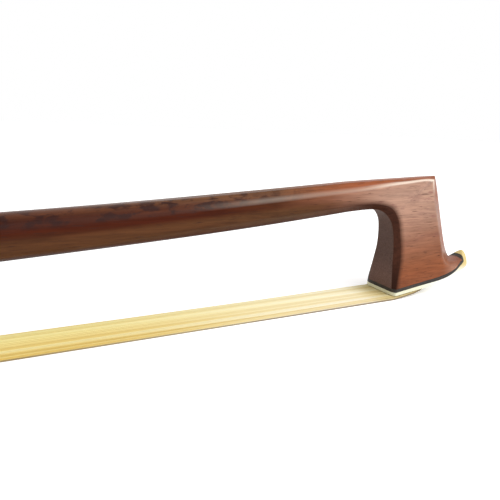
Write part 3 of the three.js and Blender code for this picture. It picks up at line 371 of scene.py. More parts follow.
def stick_axis(x):
    """Height of the stick's middle, which dips between the handle and the head."""
    t = min((HEAD_X - x) / CAMBER_LENGTH, 1.0)
    rise = t ** 3 - 2 * t ** 2 + t
    blend = 3 * t ** 2 - 2 * t ** 3
    return AXIS_AT_HEAD * (1 - blend) + AXIS_AT_FROG * blend - CAMBER_LENGTH * CAMBER_SLOPE * rise


def corner_cut(sizes, x):
    """How far the facets' corners are cut back, until the stick is round between its two ends."""
    round_cut = stick_radius(sizes, x) * OCTAGON
    from_handle = smoothstep(x, FACET_LENGTH, FACET_LENGTH + FACET_FADE)
    from_head = smoothstep(HEAD_X - x, HEAD_FACETS, HEAD_FADE)
    return sizes.edge_wear + (round_cut - sizes.edge_wear) * min(from_handle, from_head)


def facet_place(k, share):
    """Where a point lies round the section: 0 in the middle of the lower face, 4 of the upper."""
    if k == 0:
        return CORNER_PLACES[0] - min(share, 1 - share)
    if k == 4:
        return CORNER_PLACES[4] + min(share, 1 - share)
    return CORNER_PLACES[k] + (CORNER_PLACES[(k + 1) % 8] - CORNER_PLACES[k]) * share


def facet_reach(k, share, edge, wanted):
    """The way along a facet to the nearest wanted corner."""
    reach = FAR_FROM_CORNER
    if k in wanted:
        reach = share * edge
    if (k + 1) % 8 in wanted:
        reach = min(reach, (1 - share) * edge)
    return reach


def section_ring(inner, outer, section):
    """Eight corners about the line from inner to outer, each rounded with a short curve.

    Each point is (x, y, z, place, way to the shoulder edge, way to the lower edge)."""
    dx, dz = outer[0] - inner[0], outer[1] - inner[1]
    depth = math.hypot(dx, dz)
    flat, half, bevel = section["flat"], section["half"], section["bevel"]
    near_side = [(0.0, flat[0]), (bevel[0], half[0]), (depth - bevel[1], half[1]), (depth, flat[1])]
    far_side = [(along, -across) for along, across in near_side]
    corners = [far_side[0], *near_side, *far_side[:0:-1]]
    edges = [math.dist(corners[k], corners[(k + 1) % 8]) for k in range(8)]
    shares = []
    for k, corner in enumerate(corners):
        cut = section["cut"][1] if corner[0] > depth / 2 else section["cut"][0]
        shares.append([min(cut / edges[side], CORNER_LIMIT) for side in (k - 1, k)])
    ring = []

    def put(along, across, k, share):
        ring.append((
            inner[0] + dx * along / depth, across, inner[1] + dz * along / depth,
            facet_place(k, share),
            facet_reach(k, share, edges[k], SHOULDER_CORNERS),
            facet_reach(k, share, edges[k], LOWER_CORNERS),
        ))

    for k, corner in enumerate(corners):
        before, after = corners[k - 1], corners[(k + 1) % 8]
        first = [corner[i] + (before[i] - corner[i]) * shares[k][0] for i in (0, 1)]
        last = [corner[i] + (after[i] - corner[i]) * shares[k][1] for i in (0, 1)]
        for j in range(CORNER_SEGMENTS + 1):
            t = j / CORNER_SEGMENTS
            along, across = (
                (1 - t) ** 2 * first[i] + 2 * t * (1 - t) * corner[i] + t * t * last[i] for i in (0, 1))
            if t < 0.5:
                put(along, across, (k - 1) % 8, 1 - shares[k][0] * (1 - t) ** 2)
            else:
                put(along, across, k, shares[k][1] * t * t)
        low, high = shares[k][1], 1 - shares[(k + 1) % 8][0]
        straight = (high - low) * edges[k]
        near = [min(distance / straight, share) for distance, share in FACET_STEPS]
        for q in near + [1 - v for v in reversed(near)]:
            share = low + (high - low) * q
            along, across = (corner[i] + (after[i] - corner[i]) * share for i in (0, 1))
            put(along, across, k, share)
    return ring


def stick_section(sizes, x, room=0.0):
    radius = stick_radius(sizes, x) + room
    flat = radius * OCTAGON
    cut = corner_cut(sizes, x) * radius / stick_radius(sizes, x)
    section = {"flat": flat, "half": radius, "bevel": radius - flat, "cut": cut}
    return {name: (value, value) for name, value in section.items()}


def stick_ring(sizes, x, room=0.0):
    radius = stick_radius(sizes, x) + room
    axis = stick_axis(x)
    return section_ring((x, axis - radius), (x, axis + radius), stick_section(sizes, x, room))


def stick_places(end):
    """Where the stick's rings stand, closer together near the head."""
    places = [0.0, FACET_LENGTH]
    places += [FACET_LENGTH + FACET_FADE * k / FADE_STATIONS for k in range(1, FADE_STATIONS + 1)]
    x = places[-1] + STATION_GAP
    while x < end - STATION_GAP / 2:
        places.append(x)
        x += STATION_GAP if x < CLOSE_STATIONS else STATION_GAP / 2
    return places


# The head's form: a runs along the plate towards the nose, b stands square to it

def from_head(sizes, a, b):
    cos, sin = math.cos(sizes.head_tilt), math.sin(sizes.head_tilt)
    return (HEAD_X + a * cos - b * sin, a * sin + b * cos)


def to_head(sizes, x, z):
    cos, sin = math.cos(sizes.head_tilt), math.sin(sizes.head_tilt)
    return ((x - HEAD_X) * cos + z * sin, -(x - HEAD_X) * sin + z * cos)


# Each row in shares of the head's sizes: inner and outer point, half flats, half widths, bevels
THROAT_ROWS = [
    ((-0.5, 0.988), (-0.041, 0.983), (0.26, 0.23), (0.61, 0.605), (0.33, 0.3)),
    ((-0.22, 0.966), (0.204, 0.968), (0.31, 0.21), (0.615, 0.59), (0.3, 0.23)),
    ((-0.075, 0.928), (0.408, 0.957), (0.35, 0.16), (0.62, 0.55), (0.3, 0.2)),
    ((0.012, 0.883), (0.565, 0.948), (0.39, 0.07), (0.635, 0.35), (0.28, 0.41)),
]
RIDGE_ROWS = [
    ((0.1, 0.8), (0.603, 0.82), (0.45, 0.06), (0.655, 0.55), (0.25, 0.74)),
    ((0.135, 0.66), (0.643, 0.649), (0.505, 0.06), (0.69, 0.61), (0.24, 0.77)),
    ((0.125, 0.508), (0.686, 0.47), (0.56, 0.06), (0.75, 0.645), (0.28, 0.78)),
    ((0.076, 0.36), (0.725, 0.316), (0.635, 0.07), (0.84, 0.67), (0.28, 0.8)),
    ((0.038, 0.233), (0.76, 0.224), (0.71, 0.08), (0.915, 0.7), (0.2, 0.88)),
    ((0.013, 0.106), (0.789, 0.177), (0.765, 0.08), (0.97, 0.76), (0.12, 0.9)),
    ((0.0, 0.0), (0.807, 0.163), (0.785, 0.08), (0.995, 0.78), (0.08, 0.76)),
    ((0.0, -0.065), (0.825, 0.154), (0.79, 0.08), (1.02, 0.77), (0.07, 0.62)),
    ((0.543, -0.129), (0.85, 0.148), (0.795, 0.09), (1.12, 0.74), (0.07, 0.54)),
    ((1.087, -0.161), (0.882, 0.146), (0.795, 0.1), (1.3, 0.68), (0.07, 0.5)),
]
NOSE_ROWS = [
    ((1.413, -0.215), (0.921, 0.159), (0.795, 0.1), (1.45, 0.6), (0.07, 0.52)),
    ((1.63, -0.269), (0.969, 0.193), (0.795, 0.1), (1.35, 0.55), (0.07, 0.66)),
    ((1.739, -0.323), (0.992, 0.175), (0.795, 0.15), (1.3, 0.55), (0.07, 0.55)),
    ((1.739, -0.43), (1.0, 0.13), (0.795, 0.2), (1.3, 0.55), (0.07, 0.45)),
    ((1.685, -0.538), (0.992, 0.065), (0.795, 0.22), (1.3, 0.55), (0.07, 0.45)),
    ((1.63, -0.645), (0.976, -0.02), (0.795, 0.22), (1.3, 0.55), (0.07, 0.45)),
]
NOSE_EDGE_SHARE = 0.3
HEAD_STEPS = 8
WOOD_FACE = [
    (0.0, 1.0), (0.466, 1.0), (0.556, 1.05), (0.645, 1.18), (0.735, 1.42), (0.81, 1.68), (0.87, 1.95),
    (0.898, 2.2), (0.887, 2.75), (0.88, 3.4),
]
PLATE_FACE = [
    (0.0, 0.0), (0.377, 0.0), (0.5, 0.13), (0.6, 0.3), (0.68, 0.48), (0.765, 0.7), (0.83, 0.87),
    (0.89, 1.05), (0.94, 1.27), (0.975, 1.57), (0.995, 2.1), (1.01, 3.0),
]
FACE_STEPS = 5

# Shares of a layer's line between which it grows thinner round the nose, and then thicker
THINNER_FROM = (0.25, 0.6)
THICKER_FROM = (0.76, 0.88)
THICKER_TIMES = 2.7

# Cuts in the head, and how far their cutters reach past it
OVERCUT = 0.004
HEAD_CUTTER_HALF = 0.014
MORTISE = (0.003, -0.004, 0.012, 0.0085)
MORTISE_HALF = 0.0027


def head_keys(sizes):
    """The head's key sections in the head frame, in three runs: throat, ridge and nose."""
    join_x = HEAD_X - THROAT_REACH * math.cos(sizes.head_tilt) - AXIS_AT_HEAD * math.sin(sizes.head_tilt)
    radius = stick_radius(sizes, join_x)
    under = to_head(sizes, join_x, stick_axis(join_x) - radius)
    top = to_head(sizes, join_x, stick_axis(join_x) + radius)
    width = sizes.plate_half_width

    def key(row, rounding):
        inner, outer, *widths = row
        section = {
            "inner": (inner[0] * THROAT_REACH, inner[1] * under[1]),
            "outer": (outer[0] * sizes.head_length, outer[1] * top[1]),
            "cut": (sizes.edge_wear, sizes.edge_wear + rounding * NOSE_EDGE_SHARE * width),
        }
        for name, pair in zip(("flat", "half", "bevel"), widths):
            section[name] = tuple(v * width for v in pair)
        return section

    first = {"inner": under, "outer": top, **stick_section(sizes, join_x)}
    throat = [first] + [key(row, 0.0) for row in THROAT_ROWS]
    count = len(RIDGE_ROWS)
    ridge = [throat[-1]] + [key(row, ((k + 1) / count) ** 2) for k, row in enumerate(RIDGE_ROWS)]
    nose = [ridge[-1]] + [key(row, 1.0) for row in NOSE_ROWS]
    return join_x, (throat, ridge, nose)


def between(keys, steps):
    """Stations on a smooth curve through every value of the keys, without the last key."""
    stations = []
    last = len(keys) - 1
    for k in range(last):
        four = [keys[max(k - 1, 0)], keys[k], keys[k + 1], keys[min(k + 2, last)]]
        for j in range(steps):
            t = j / steps
            station = {}
            for name in keys[k]:
                pair = []
                for i in (0, 1):
                    p0, p1, p2, p3 = (key[name][i] for key in four)
                    bend = 2 * p0 - 5 * p1 + 4 * p2 - p3
                    turn = 3 * (p1 - p2) + p3 - p0
                    pair.append(p1 + 0.5 * (t * (p2 - p0) + t * t * bend + t ** 3 * turn))
                station[name] = tuple(pair)
            stations.append(station)
    return stations


def head_rings(sizes):
    """Where the head joins the stick, and the rings from there to the nose."""
    join_x, runs = head_keys(sizes)
    stations = [station for run in runs for station in between(run, HEAD_STEPS)] + [runs[-1][-1]]
    return join_x, [
        section_ring(from_head(sizes, *s["inner"]), from_head(sizes, *s["outer"]), s) for s in stations]


def head_cutter(sizes, outline, half=HEAD_CUTTER_HALF):
    return side_cutter([from_head(sizes, a, b) for a, b in outline], half)


def cut_mortise(sizes, piece):
    """Cuts the pocket that holds the hair's knot."""
    carve(piece, head_cutter(sizes, rectangle(*MORTISE), MORTISE_HALF))


def shifted(outline, distance, thinned=0.0):
    """The outline moved outward: by less round the nose, and by more at its end."""
    moved = []
    last = len(outline) - 1
    for k, (a, b) in enumerate(outline):
        less = smoothstep(k / last, *THINNER_FROM) - THICKER_TIMES * smoothstep(k / last, *THICKER_FROM)
        before, after = outline[max(k - 1, 0)], outline[min(k + 1, last)]
        da, db = after[0] - before[0], after[1] - before[1]
        out = (distance - thinned * less) / math.hypot(da, db)
        moved.append((a + out * db, b - out * da))
    return moved


def prolonged(outline):
    """The outline run past both of its ends."""
    first, last = outline[0], outline[-1]
    return [(first[0] - OVERCUT, first[1])] + outline + [(last[0], last[1] + OVERCUT)]


def head_faces(sizes):
    """The wood's lower face and the plate's outer face, as smooth lines in the head frame."""
    height = PLATE_THICKNESS + LINER_THICKNESS + GLUE_LINE
    lines = []
    for face in (WOOD_FACE, PLATE_FACE):
        points = [(a * sizes.head_length, b * height) for a, b in face]
        stations = between([{"at": point} for point in points], FACE_STEPS)
        lines.append([station["at"] for station in stations] + [points[-1]])
    return lines


# Materials

class Nodes:
    """Adds and links the nodes of a material or of the world."""

    def __init__(self, owner):
        owner.use_nodes = True
        self.owner = owner
        self.tree = owner.node_tree

    def feed(self, socket, source):
        if isinstance(source, bpy.types.NodeSocket):
            self.tree.links.new(source, socket)
        else:
            socket.default_value = source

    def add(self, kind, inputs, **values):
        node = self.tree.nodes.new(kind)
        for name, value in values.items():
            setattr(node, name, value)
        for key, source in inputs.items():
            self.feed(node.inputs[key], source)
        return node

    def math(self, operation, a, b):
        return self.add("ShaderNodeMath", {0: a, 1: b}, operation=operation).outputs[0]

    def seen(self):
        """One for rays from the camera, mirrors and glass."""
        light = self.add("ShaderNodeLightPath", {})
        total = light.outputs["Is Camera Ray"]
        for name in ("Is Glossy Ray", "Is Transmission Ray"):
            total = self.math("MAXIMUM", total, light.outputs[name])
        return total


class Finish(Nodes):
    """Adds and links the nodes of a new material, whose patterns follow the bow's own place."""

    def __init__(self, name):
        super().__init__(bpy.data.materials.new(name))
        self.shader = self.tree.nodes["Principled BSDF"]
        self.place = self.add("ShaderNodeTexCoord", {}).outputs["Object"]

    def stretched(self, scale):
        return self.add("ShaderNodeMapping", {"Vector": self.place, "Scale": scale}).outputs["Vector"]

    def noise(self, scale, detail=3.0, roughness=0.55, distortion=0.0):
        inputs = {"Vector": self.stretched(scale), "Scale": 1.0, "Detail": detail,
                  "Roughness": roughness, "Distortion": distortion}
        return self.add("ShaderNodeTexNoise", inputs).outputs["Fac"]

    def cells(self, scale):
        inputs = {"Vector": self.stretched(scale), "Scale": 1.0}
        return self.add("ShaderNodeTexVoronoi", inputs).outputs["Distance"]

    def range(self, value, low, high, to_low=0.0, to_high=1.0, smooth=True):
        inputs = {"Value": value, "From Min": low, "From Max": high, "To Min": to_low, "To Max": to_high}
        kind = "SMOOTHSTEP" if smooth else "LINEAR"
        return self.add("ShaderNodeMapRange", inputs, interpolation_type=kind).outputs["Result"]

    def along(self, low, high, to_low=0.0, to_high=1.0, smooth=True):
        """Rises between two places along the bow, measured from the rear edge of the head plate."""
        x = self.add("ShaderNodeSeparateXYZ", {0: self.place}).outputs["X"]
        start = OFFSET.x + HEAD_X
        return self.range(x, start + low, start + high, to_low, to_high, smooth)

    def above(self, low, high):
        """Rises between two heights, measured from the head plate's underside."""
        z = self.add("ShaderNodeSeparateXYZ", {0: self.place}).outputs["Z"]
        return self.range(z, OFFSET.z + low, OFFSET.z + high)

    def attribute(self, name):
        return self.add("ShaderNodeAttribute", {}, attribute_name=name).outputs["Fac"]

    def mix(self, factor, a, b, blend="MIX"):
        inputs = {"Factor": factor, "A": tint(a), "B": tint(b)}
        return self.add("ShaderNodeMix", inputs, data_type="RGBA", blend_type=blend).outputs["Result"]

    def times(self, base, factors):
        """The colour with its channels multiplied by another's."""
        return self.mix(1.0, base, factors, blend="MULTIPLY")

    def over(self, base, shade, value, low, high, most=1.0):
        """The base with a shade laid over it, where the value rises from low to high."""
        return self.mix(self.range(value, low, high, 0.0, most), base, shade)

    def grey(self, value):
        inputs = {"Red": value, "Green": value, "Blue": value}
        return self.add("ShaderNodeCombineColor", inputs).outputs["Color"]

    def ramp(self, value, stops):
        """Colours at given places between 0 and 1, blended."""
        node = self.add("ShaderNodeValToRGB", {"Fac": value})
        elements = node.color_ramp.elements
        while len(elements) < len(stops):
            elements.new(1.0)
        for element, (place, shade) in zip(elements, stops):
            element.position = place
            element.color = tint(shade)
        return node.outputs["Color"]

    def bump(self, height, distance, strength):
        node = self.add("ShaderNodeBump", {"Height": height, "Distance": distance, "Strength": strength})
        self.feed(self.shader.inputs["Normal"], node.outputs["Normal"])

    def finish(self, base, roughness, others=()):
        """Feeds the shader, and gives the material."""
        for name, value in {"Base Color": tint(base), "Roughness": roughness, **dict(others)}.items():
            self.feed(self.shader.inputs[name], value)
        return self.owner


def tint(value):
    """A colour as four numbers; a socket as it is."""
    if isinstance(value, bpy.types.NodeSocket):
        return value
    return (*tuple(value)[:3], 1.0)


def shaded(shade, *factors):
    """The colour with all its channels times one factor, or each times its own."""
    each = factors if len(factors) == 3 else factors * 3
    return tuple(value * factor for value, factor in zip(shade, each))


def blended(*parts):
    """The sum of colours, each times its share."""
    return tuple(sum(share * shade[k] for share, shade in parts) for k in range(3))


# Tints that multiply a colour in places
WARM_CLOUD = (1.16, 0.9, 0.82)
PURPLE_SMUDGE = (0.66, 0.62, 0.68)
LOW_REAR = (1.35, 1.3, 1.3)
HAIR_BY_HEAD = (1.0, 1.0, 1.25)
HAIR_AWAY = (0.93, 0.88, 0.66)
# Painted shadow of the head on the hair just before the plate
HAIR_SHADOW_AT_PLATE = (0.72, 0.66, 0.42)
STICK_FADE = 0.0725


def stick_colours(n, sizes, behind):
    """The wood's colours round the stick and the head, without its grain, with painted light and shade in
    them.
    """
    # old is the far side's colour: partly darker wood, partly painted shade where the light falls off
    # away from the head
    old, wood = sizes.far_side_shaded, sizes.wood
    side = n.ramp(behind, [
        (0.0, old),
        (0.45, shaded(old, 1.9, 2.2, 1.5)),
        (0.6, shaded(old, 2.1, 3.0, 2.2)),
        (0.8, blended((0.25, old), (0.6, wood), (0.15, sizes.painted_sheen))),
        (1.0, wood),
    ])
    # The top lighter than the sides far from the head: painted light from above
    top = n.ramp(behind, [
        (0.0, sizes.far_top_lit),
        (0.45, shaded(sizes.far_top_lit, 1.45, 1.9, 2.1)),
        (0.62, shaded(sizes.far_top_lit, 1.6, 2.2, 2.5)),
        (0.86, sizes.top),
        (1.0, sizes.top),
    ])
    away = n.range(behind, 0.72, 0.35)
    side = n.mix(n.math("MULTIPLY", n.attribute("red"), away), side, sizes.red)
    clouds = n.noise((330, 620, 620), roughness=0.6, distortion=0.3)
    clouded = n.math("MULTIPLY", n.range(clouds, 0.47, 0.61), n.attribute("flank"))
    clouded = n.math("MULTIPLY", clouded, n.range(behind, 0.8, 0.4, 0.0, 0.9))
    # Painted sheen high on the head's cheeks
    base = n.mix(n.attribute("painted_sheen"), side, sizes.painted_sheen)
    # Painted reflection of the floor low on the stick's sides
    base = n.mix(n.attribute("belly_reflection"), base, sizes.belly_reflection)
    base = n.mix(n.attribute("top"), base, top)
    base = n.mix(n.attribute("nose"), base, sizes.nose)
    return n.mix(clouded, base, sizes.blotch)


def rear_colours(n, sizes, base, streaks, fine):
    """The head's bare rear face and the painted shade on the bevels beside it, which both change low
    down.
    """
    low = n.above(0.0085, 0.003)
    lower_shade = n.over(shaded(sizes.lower_shade, 0.8), shaded(sizes.lower_shade, 1.3), streaks, 0.3, 0.7)
    # The painted shade grows darker low down
    lower_shade = n.mix(low, lower_shade, shaded(sizes.lower_shade, 0.62))
    base = n.mix(n.attribute("lower_shade"), base, lower_shade)
    rear = n.over(shaded(sizes.rear, 1.18), shaded(sizes.rear, 0.72), fine, 0.35, 0.75)
    rear = n.mix(low, rear, n.times(rear, LOW_REAR))
    return n.mix(n.attribute("rear"), base, rear)


def varnished_wood(sizes):
    """Reddish brown wood: darker wood and painted shade along the stick, painted sheen and highlights on
    the head.
    """
    n = Finish("varnished_wood")
    broad = n.noise((30, 260, 260), detail=2.0)
    streaks = n.noise((85, 1500, 1500), detail=4.0, roughness=0.62, distortion=0.5)
    fine = n.noise((230, 5200, 5200), roughness=0.6)
    dashes = n.noise((330, 4200, 4200), detail=2.0, roughness=0.5)
    flecks = n.noise((300, 950, 950), roughness=0.6)
    smudges = n.noise((90, 420, 420), detail=4.0, roughness=0.6, distortion=0.4)
    behind = n.along(-STICK_FADE, 0.0, smooth=False)

    base = stick_colours(n, sizes, behind)
    base = n.times(base, n.grey(n.range(streaks, 0.34, 0.7, 0.89, 1.15)))
    base = n.over(base, n.times(base, WARM_CLOUD), broad, 0.3, 0.7, 0.3)
    base = n.over(base, sizes.wood_dark, fine, 0.5, 0.75, 0.36)
    base = n.over(base, sizes.wood_dark, dashes, 0.63, 0.72, 0.6)
    base = n.over(base, n.times(base, PURPLE_SMUDGE), smudges, 0.53, 0.68, 0.5)
    # Purple flecks, laid where the painted sheen lies
    spots = n.math("MULTIPLY", n.range(flecks, 0.57, 0.68, 0.0, 0.6), n.attribute("painted_sheen"))
    base = n.mix(spots, base, blended((0.45, sizes.fleck), (0.55, sizes.wood)))
    base = rear_colours(n, sizes, base, streaks, fine)
    # Painted highlight along the shoulder edges, broken a little by the streaks
    highlit = n.math("MULTIPLY", n.attribute("shoulder_highlight"), n.range(streaks, 0.3, 0.62, 1.0, 0.7))
    base = n.mix(highlit, base, sizes.shoulder_highlight)

    pores = n.math("MAXIMUM", n.range(dashes, 0.6, 0.74), n.range(fine, 0.58, 0.8, 0.0, 0.6))
    n.bump(n.math("MULTIPLY", pores, -1.0), 0.00004, 0.45)
    bare = n.math("MULTIPLY", n.attribute("rear"), 0.2)
    roughness = n.math("ADD", n.range(broad, 0.3, 0.7, 0.3, 0.42), bare)
    top_coat = n.math("MULTIPLY", n.attribute("top"), n.range(behind, 0.55, 0.15, 0.0, 0.5))
    coat = n.math("ADD", n.range(behind, 0.3, 1.0, 0.05, 0.06), top_coat)
    coat = n.math("MULTIPLY", coat, n.math("SUBTRACT", 1.0, n.attribute("rear")))
    return n.finish(base, roughness, {
        "Coat Weight": coat, "Coat Roughness": 0.16, "Coat IOR": 1.2, "Specular IOR Level": 0.05})


def smooth_plate(sizes):
    n = Finish("ivory_plate")
    cloud = n.noise((60, 160, 160))
    lines = n.noise((40, 1500, 1500), detail=2.0)
    base = n.over(sizes.plate, shaded(sizes.plate, 0.86), cloud, 0.35, 0.75, 0.4)
    base = n.over(base, sizes.plate_lines_and_tip_shade, lines, 0.55, 0.75, 0.25)
    # Painted highlight on the plate's front half
    base = n.mix(n.along(0.006, 0.014), base, sizes.plate_front_highlight)
    # Painted warm shade on the plate's curled-up tip
    base = n.mix(n.above(0.0028, 0.0048), base, sizes.plate_lines_and_tip_shade)
    n.bump(lines, 0.00002, 0.3)
    return n.finish(base, n.range(cloud, 0.3, 0.7, 0.3, 0.42))


def horsehair(sizes):
    n = Finish("horsehair")
    away = n.along(-0.004, -0.07)
    darker = n.math("MULTIPLY", n.attribute("strand"), n.range(away, 0.3, 1.0, 1.0, 1.8))
    base = n.over(sizes.pale, sizes.golden, darker, 0.1, 1.1)
    streaks = n.noise((9, 2600, 2600), detail=2.0)
    base = n.over(base, sizes.golden, streaks, 0.45, 0.75, 0.5)
    bands = n.noise((4, 1300, 300), detail=2.0)
    base = n.over(base, sizes.golden, bands, 0.5, 0.66, 0.4)
    base = n.over(base, sizes.palest, bands, 0.49, 0.35, 0.62)
    base = n.mix(away, n.times(base, HAIR_BY_HEAD), n.times(base, HAIR_AWAY))
    # Painted shadow of the head on the hair just before the plate
    base = n.mix(n.along(-0.0075, -0.001, 0.0, 0.75), base, n.times(base, HAIR_SHADOW_AT_PLATE))
    # Stray hairs at the near edge made dark: painted shadow along the hair's lower edge
    base = n.mix(n.attribute("stray"), base, sizes.brown)
    n.bump(streaks, 0.00003, 0.4)
    return n.finish(base, n.range(streaks, 0.3, 0.7, 0.34, 0.5), {"Sheen Weight": 0.1})


def grained_leather(sizes):
    n = Finish("thumb_leather")
    grain = n.cells((1900, 1900, 1900))
    cloud = n.noise((120, 120, 120), detail=4.0)
    base = n.over(shaded(sizes.leather, 1.9), sizes.leather, grain, 0.1, 0.6)
    base = n.over(base, shaded(sizes.leather, 2.6), cloud, 0.45, 0.7, 0.5)
    n.bump(grain, 0.00012, 0.8)
    return n.finish(base, n.range(cloud, 0.3, 0.7, 0.42, 0.62))


def fibrous(name, shade, grain, spread, factor, relief, gloss, others=()):
    """One colour that grows darker or lighter along a grain, with a fine relief of the same grain."""
    n = Finish(name)
    fibres = n.noise(*grain)
    base = n.over(shade, shaded(shade, factor), fibres, *spread)
    if relief:
        n.bump(fibres, *relief)
    return n.finish(base, n.range(fibres, 0.3, 0.7, *gloss), others)


def thin_black(sizes):
    return fibrous("liner_veneer", sizes.liner, ((80, 2200, 2200),), (0.4, 0.7), 2.2, None,
                   (0.45, 0.6), {"Specular IOR Level": 0.33})


def banding(name, shade):
    return fibrous(name, shade, ((900, 160, 160),), (0.4, 0.7, 0.55), 0.6, (0.00003, 0.4), (0.26, 0.4))


def plain_wood(sizes):
    return fibrous("plug_wood", sizes.plug, ((120, 1600, 1600),), (0.4, 0.7), 0.66, (0.00004, 0.4),
                   (0.6, 0.75))


def waxed_thread(sizes):
    return fibrous("waxed_thread", sizes.thread, ((2600, 900, 2600), 2.0), (0.4, 0.65), 0.5,
                   (0.00006, 0.6), (0.5, 0.7))


def polished_blackwood(sizes):
    n = Finish("blackwood")
    pores = n.noise((260, 2400, 2400))
    cloud = n.noise((40, 200, 200))
    brown = shaded(sizes.blackwood, 3.6, 2.6, 2.2)
    base = n.over(sizes.blackwood, brown, cloud, 0.4, 0.75, 0.55)
    base = n.over(base, shaded(sizes.blackwood, 0.3), pores, 0.58, 0.72, 0.7)
    n.bump(n.range(pores, 0.56, 0.75, 0.0, -1.0), 0.00004, 0.5)
    return n.finish(base, n.range(pores, 0.4, 0.7, 0.26, 0.44))


def silvery_metal(name, shade, low, high):
    """Metal with fine scratches, whose roughness lies between low and high."""
    n = Finish(name)
    scratches = n.noise((1400, 90, 1400), detail=4.0)
    cloud = n.noise((150, 150, 150))
    base = n.over(shade, shaded(shade, 0.72), cloud, 0.4, 0.75, 0.35)
    n.bump(scratches, 0.000008, 0.3)
    return n.finish(base, n.range(scratches, 0.35, 0.7, low, high), {"Metallic": 1.0})


def pearl_shell(sizes):
    n = Finish("pearl_shell")
    waves = n.noise((260, 420, 420), distortion=1.6)
    ripples = n.noise((700, 1300, 1300), detail=2.0, distortion=2.2)
    base = n.over(sizes.pearl_blue, sizes.pearl_pink, waves, 0.35, 0.6)
    base = n.over(base, sizes.pearl_green, waves, 0.55, 0.7)
    base = n.over(base, sizes.pearl_white, ripples, 0.45, 0.7, 0.6)
    n.bump(ripples, 0.00002, 0.25)
    coat = {"Coat Weight": 0.5, "Coat Roughness": 0.08}
    return n.finish(base, n.range(ripples, 0.3, 0.7, 0.12, 0.24), coat)


# Where each finish of the wood comes and goes: behind the head, in height, and round the section
AT_HEAD = (0.024, 0.006)
NEAR_HEAD = (0.05, 0.008)
TOP_PLACE = (2.9, 3.5)
# Where the painted shade lies on the lower bevels and the underside
LOWER_BEVEL = (1.46, 1.52)
LOWER_EDGE = (0.0, 0.0012)
UNDERSIDE = (0.75, 1.15)
REAR_PLACE = (0.46, 0.54)
REAR_START = (0.0085, 0.0062)
# Where the painted reflection lies, low on the stick's sides
BELLY_PLACES = ((0.6, 1.1), (1.78, 2.2))
# Where the painted sheen lies, high on the cheeks and on the nose's sides
CHEEK_HEIGHT = (0.004, 0.0212)
CHEEK_START = (0.02, 0.0)
NOSE_SIDE = (0.014, 0.019)
RIDGE_TOP = (0.0195, 0.023)
# Where the painted highlight along the shoulder edges lies and fades
PEAK = (-0.004, 0.003)
HIGHLIGHT_WIDTH = (0.00012, 0.00076)
HIGHLIGHT_START = (0.047, 0.028)
HIGHLIGHT_FULLY = (0.011, -0.004)
FRONT_PLACE = (2.45, 2.6)
NOSE_PLACE = (2.7, 3.2)
NOSE_HEIGHT = (0.0085, 0.005)
FLANK_PLACES = ((2.35, 2.7), (3.5, 3.8))
RED_PLACES = ((2.0, 2.2), (2.5, 2.8))


# Operators

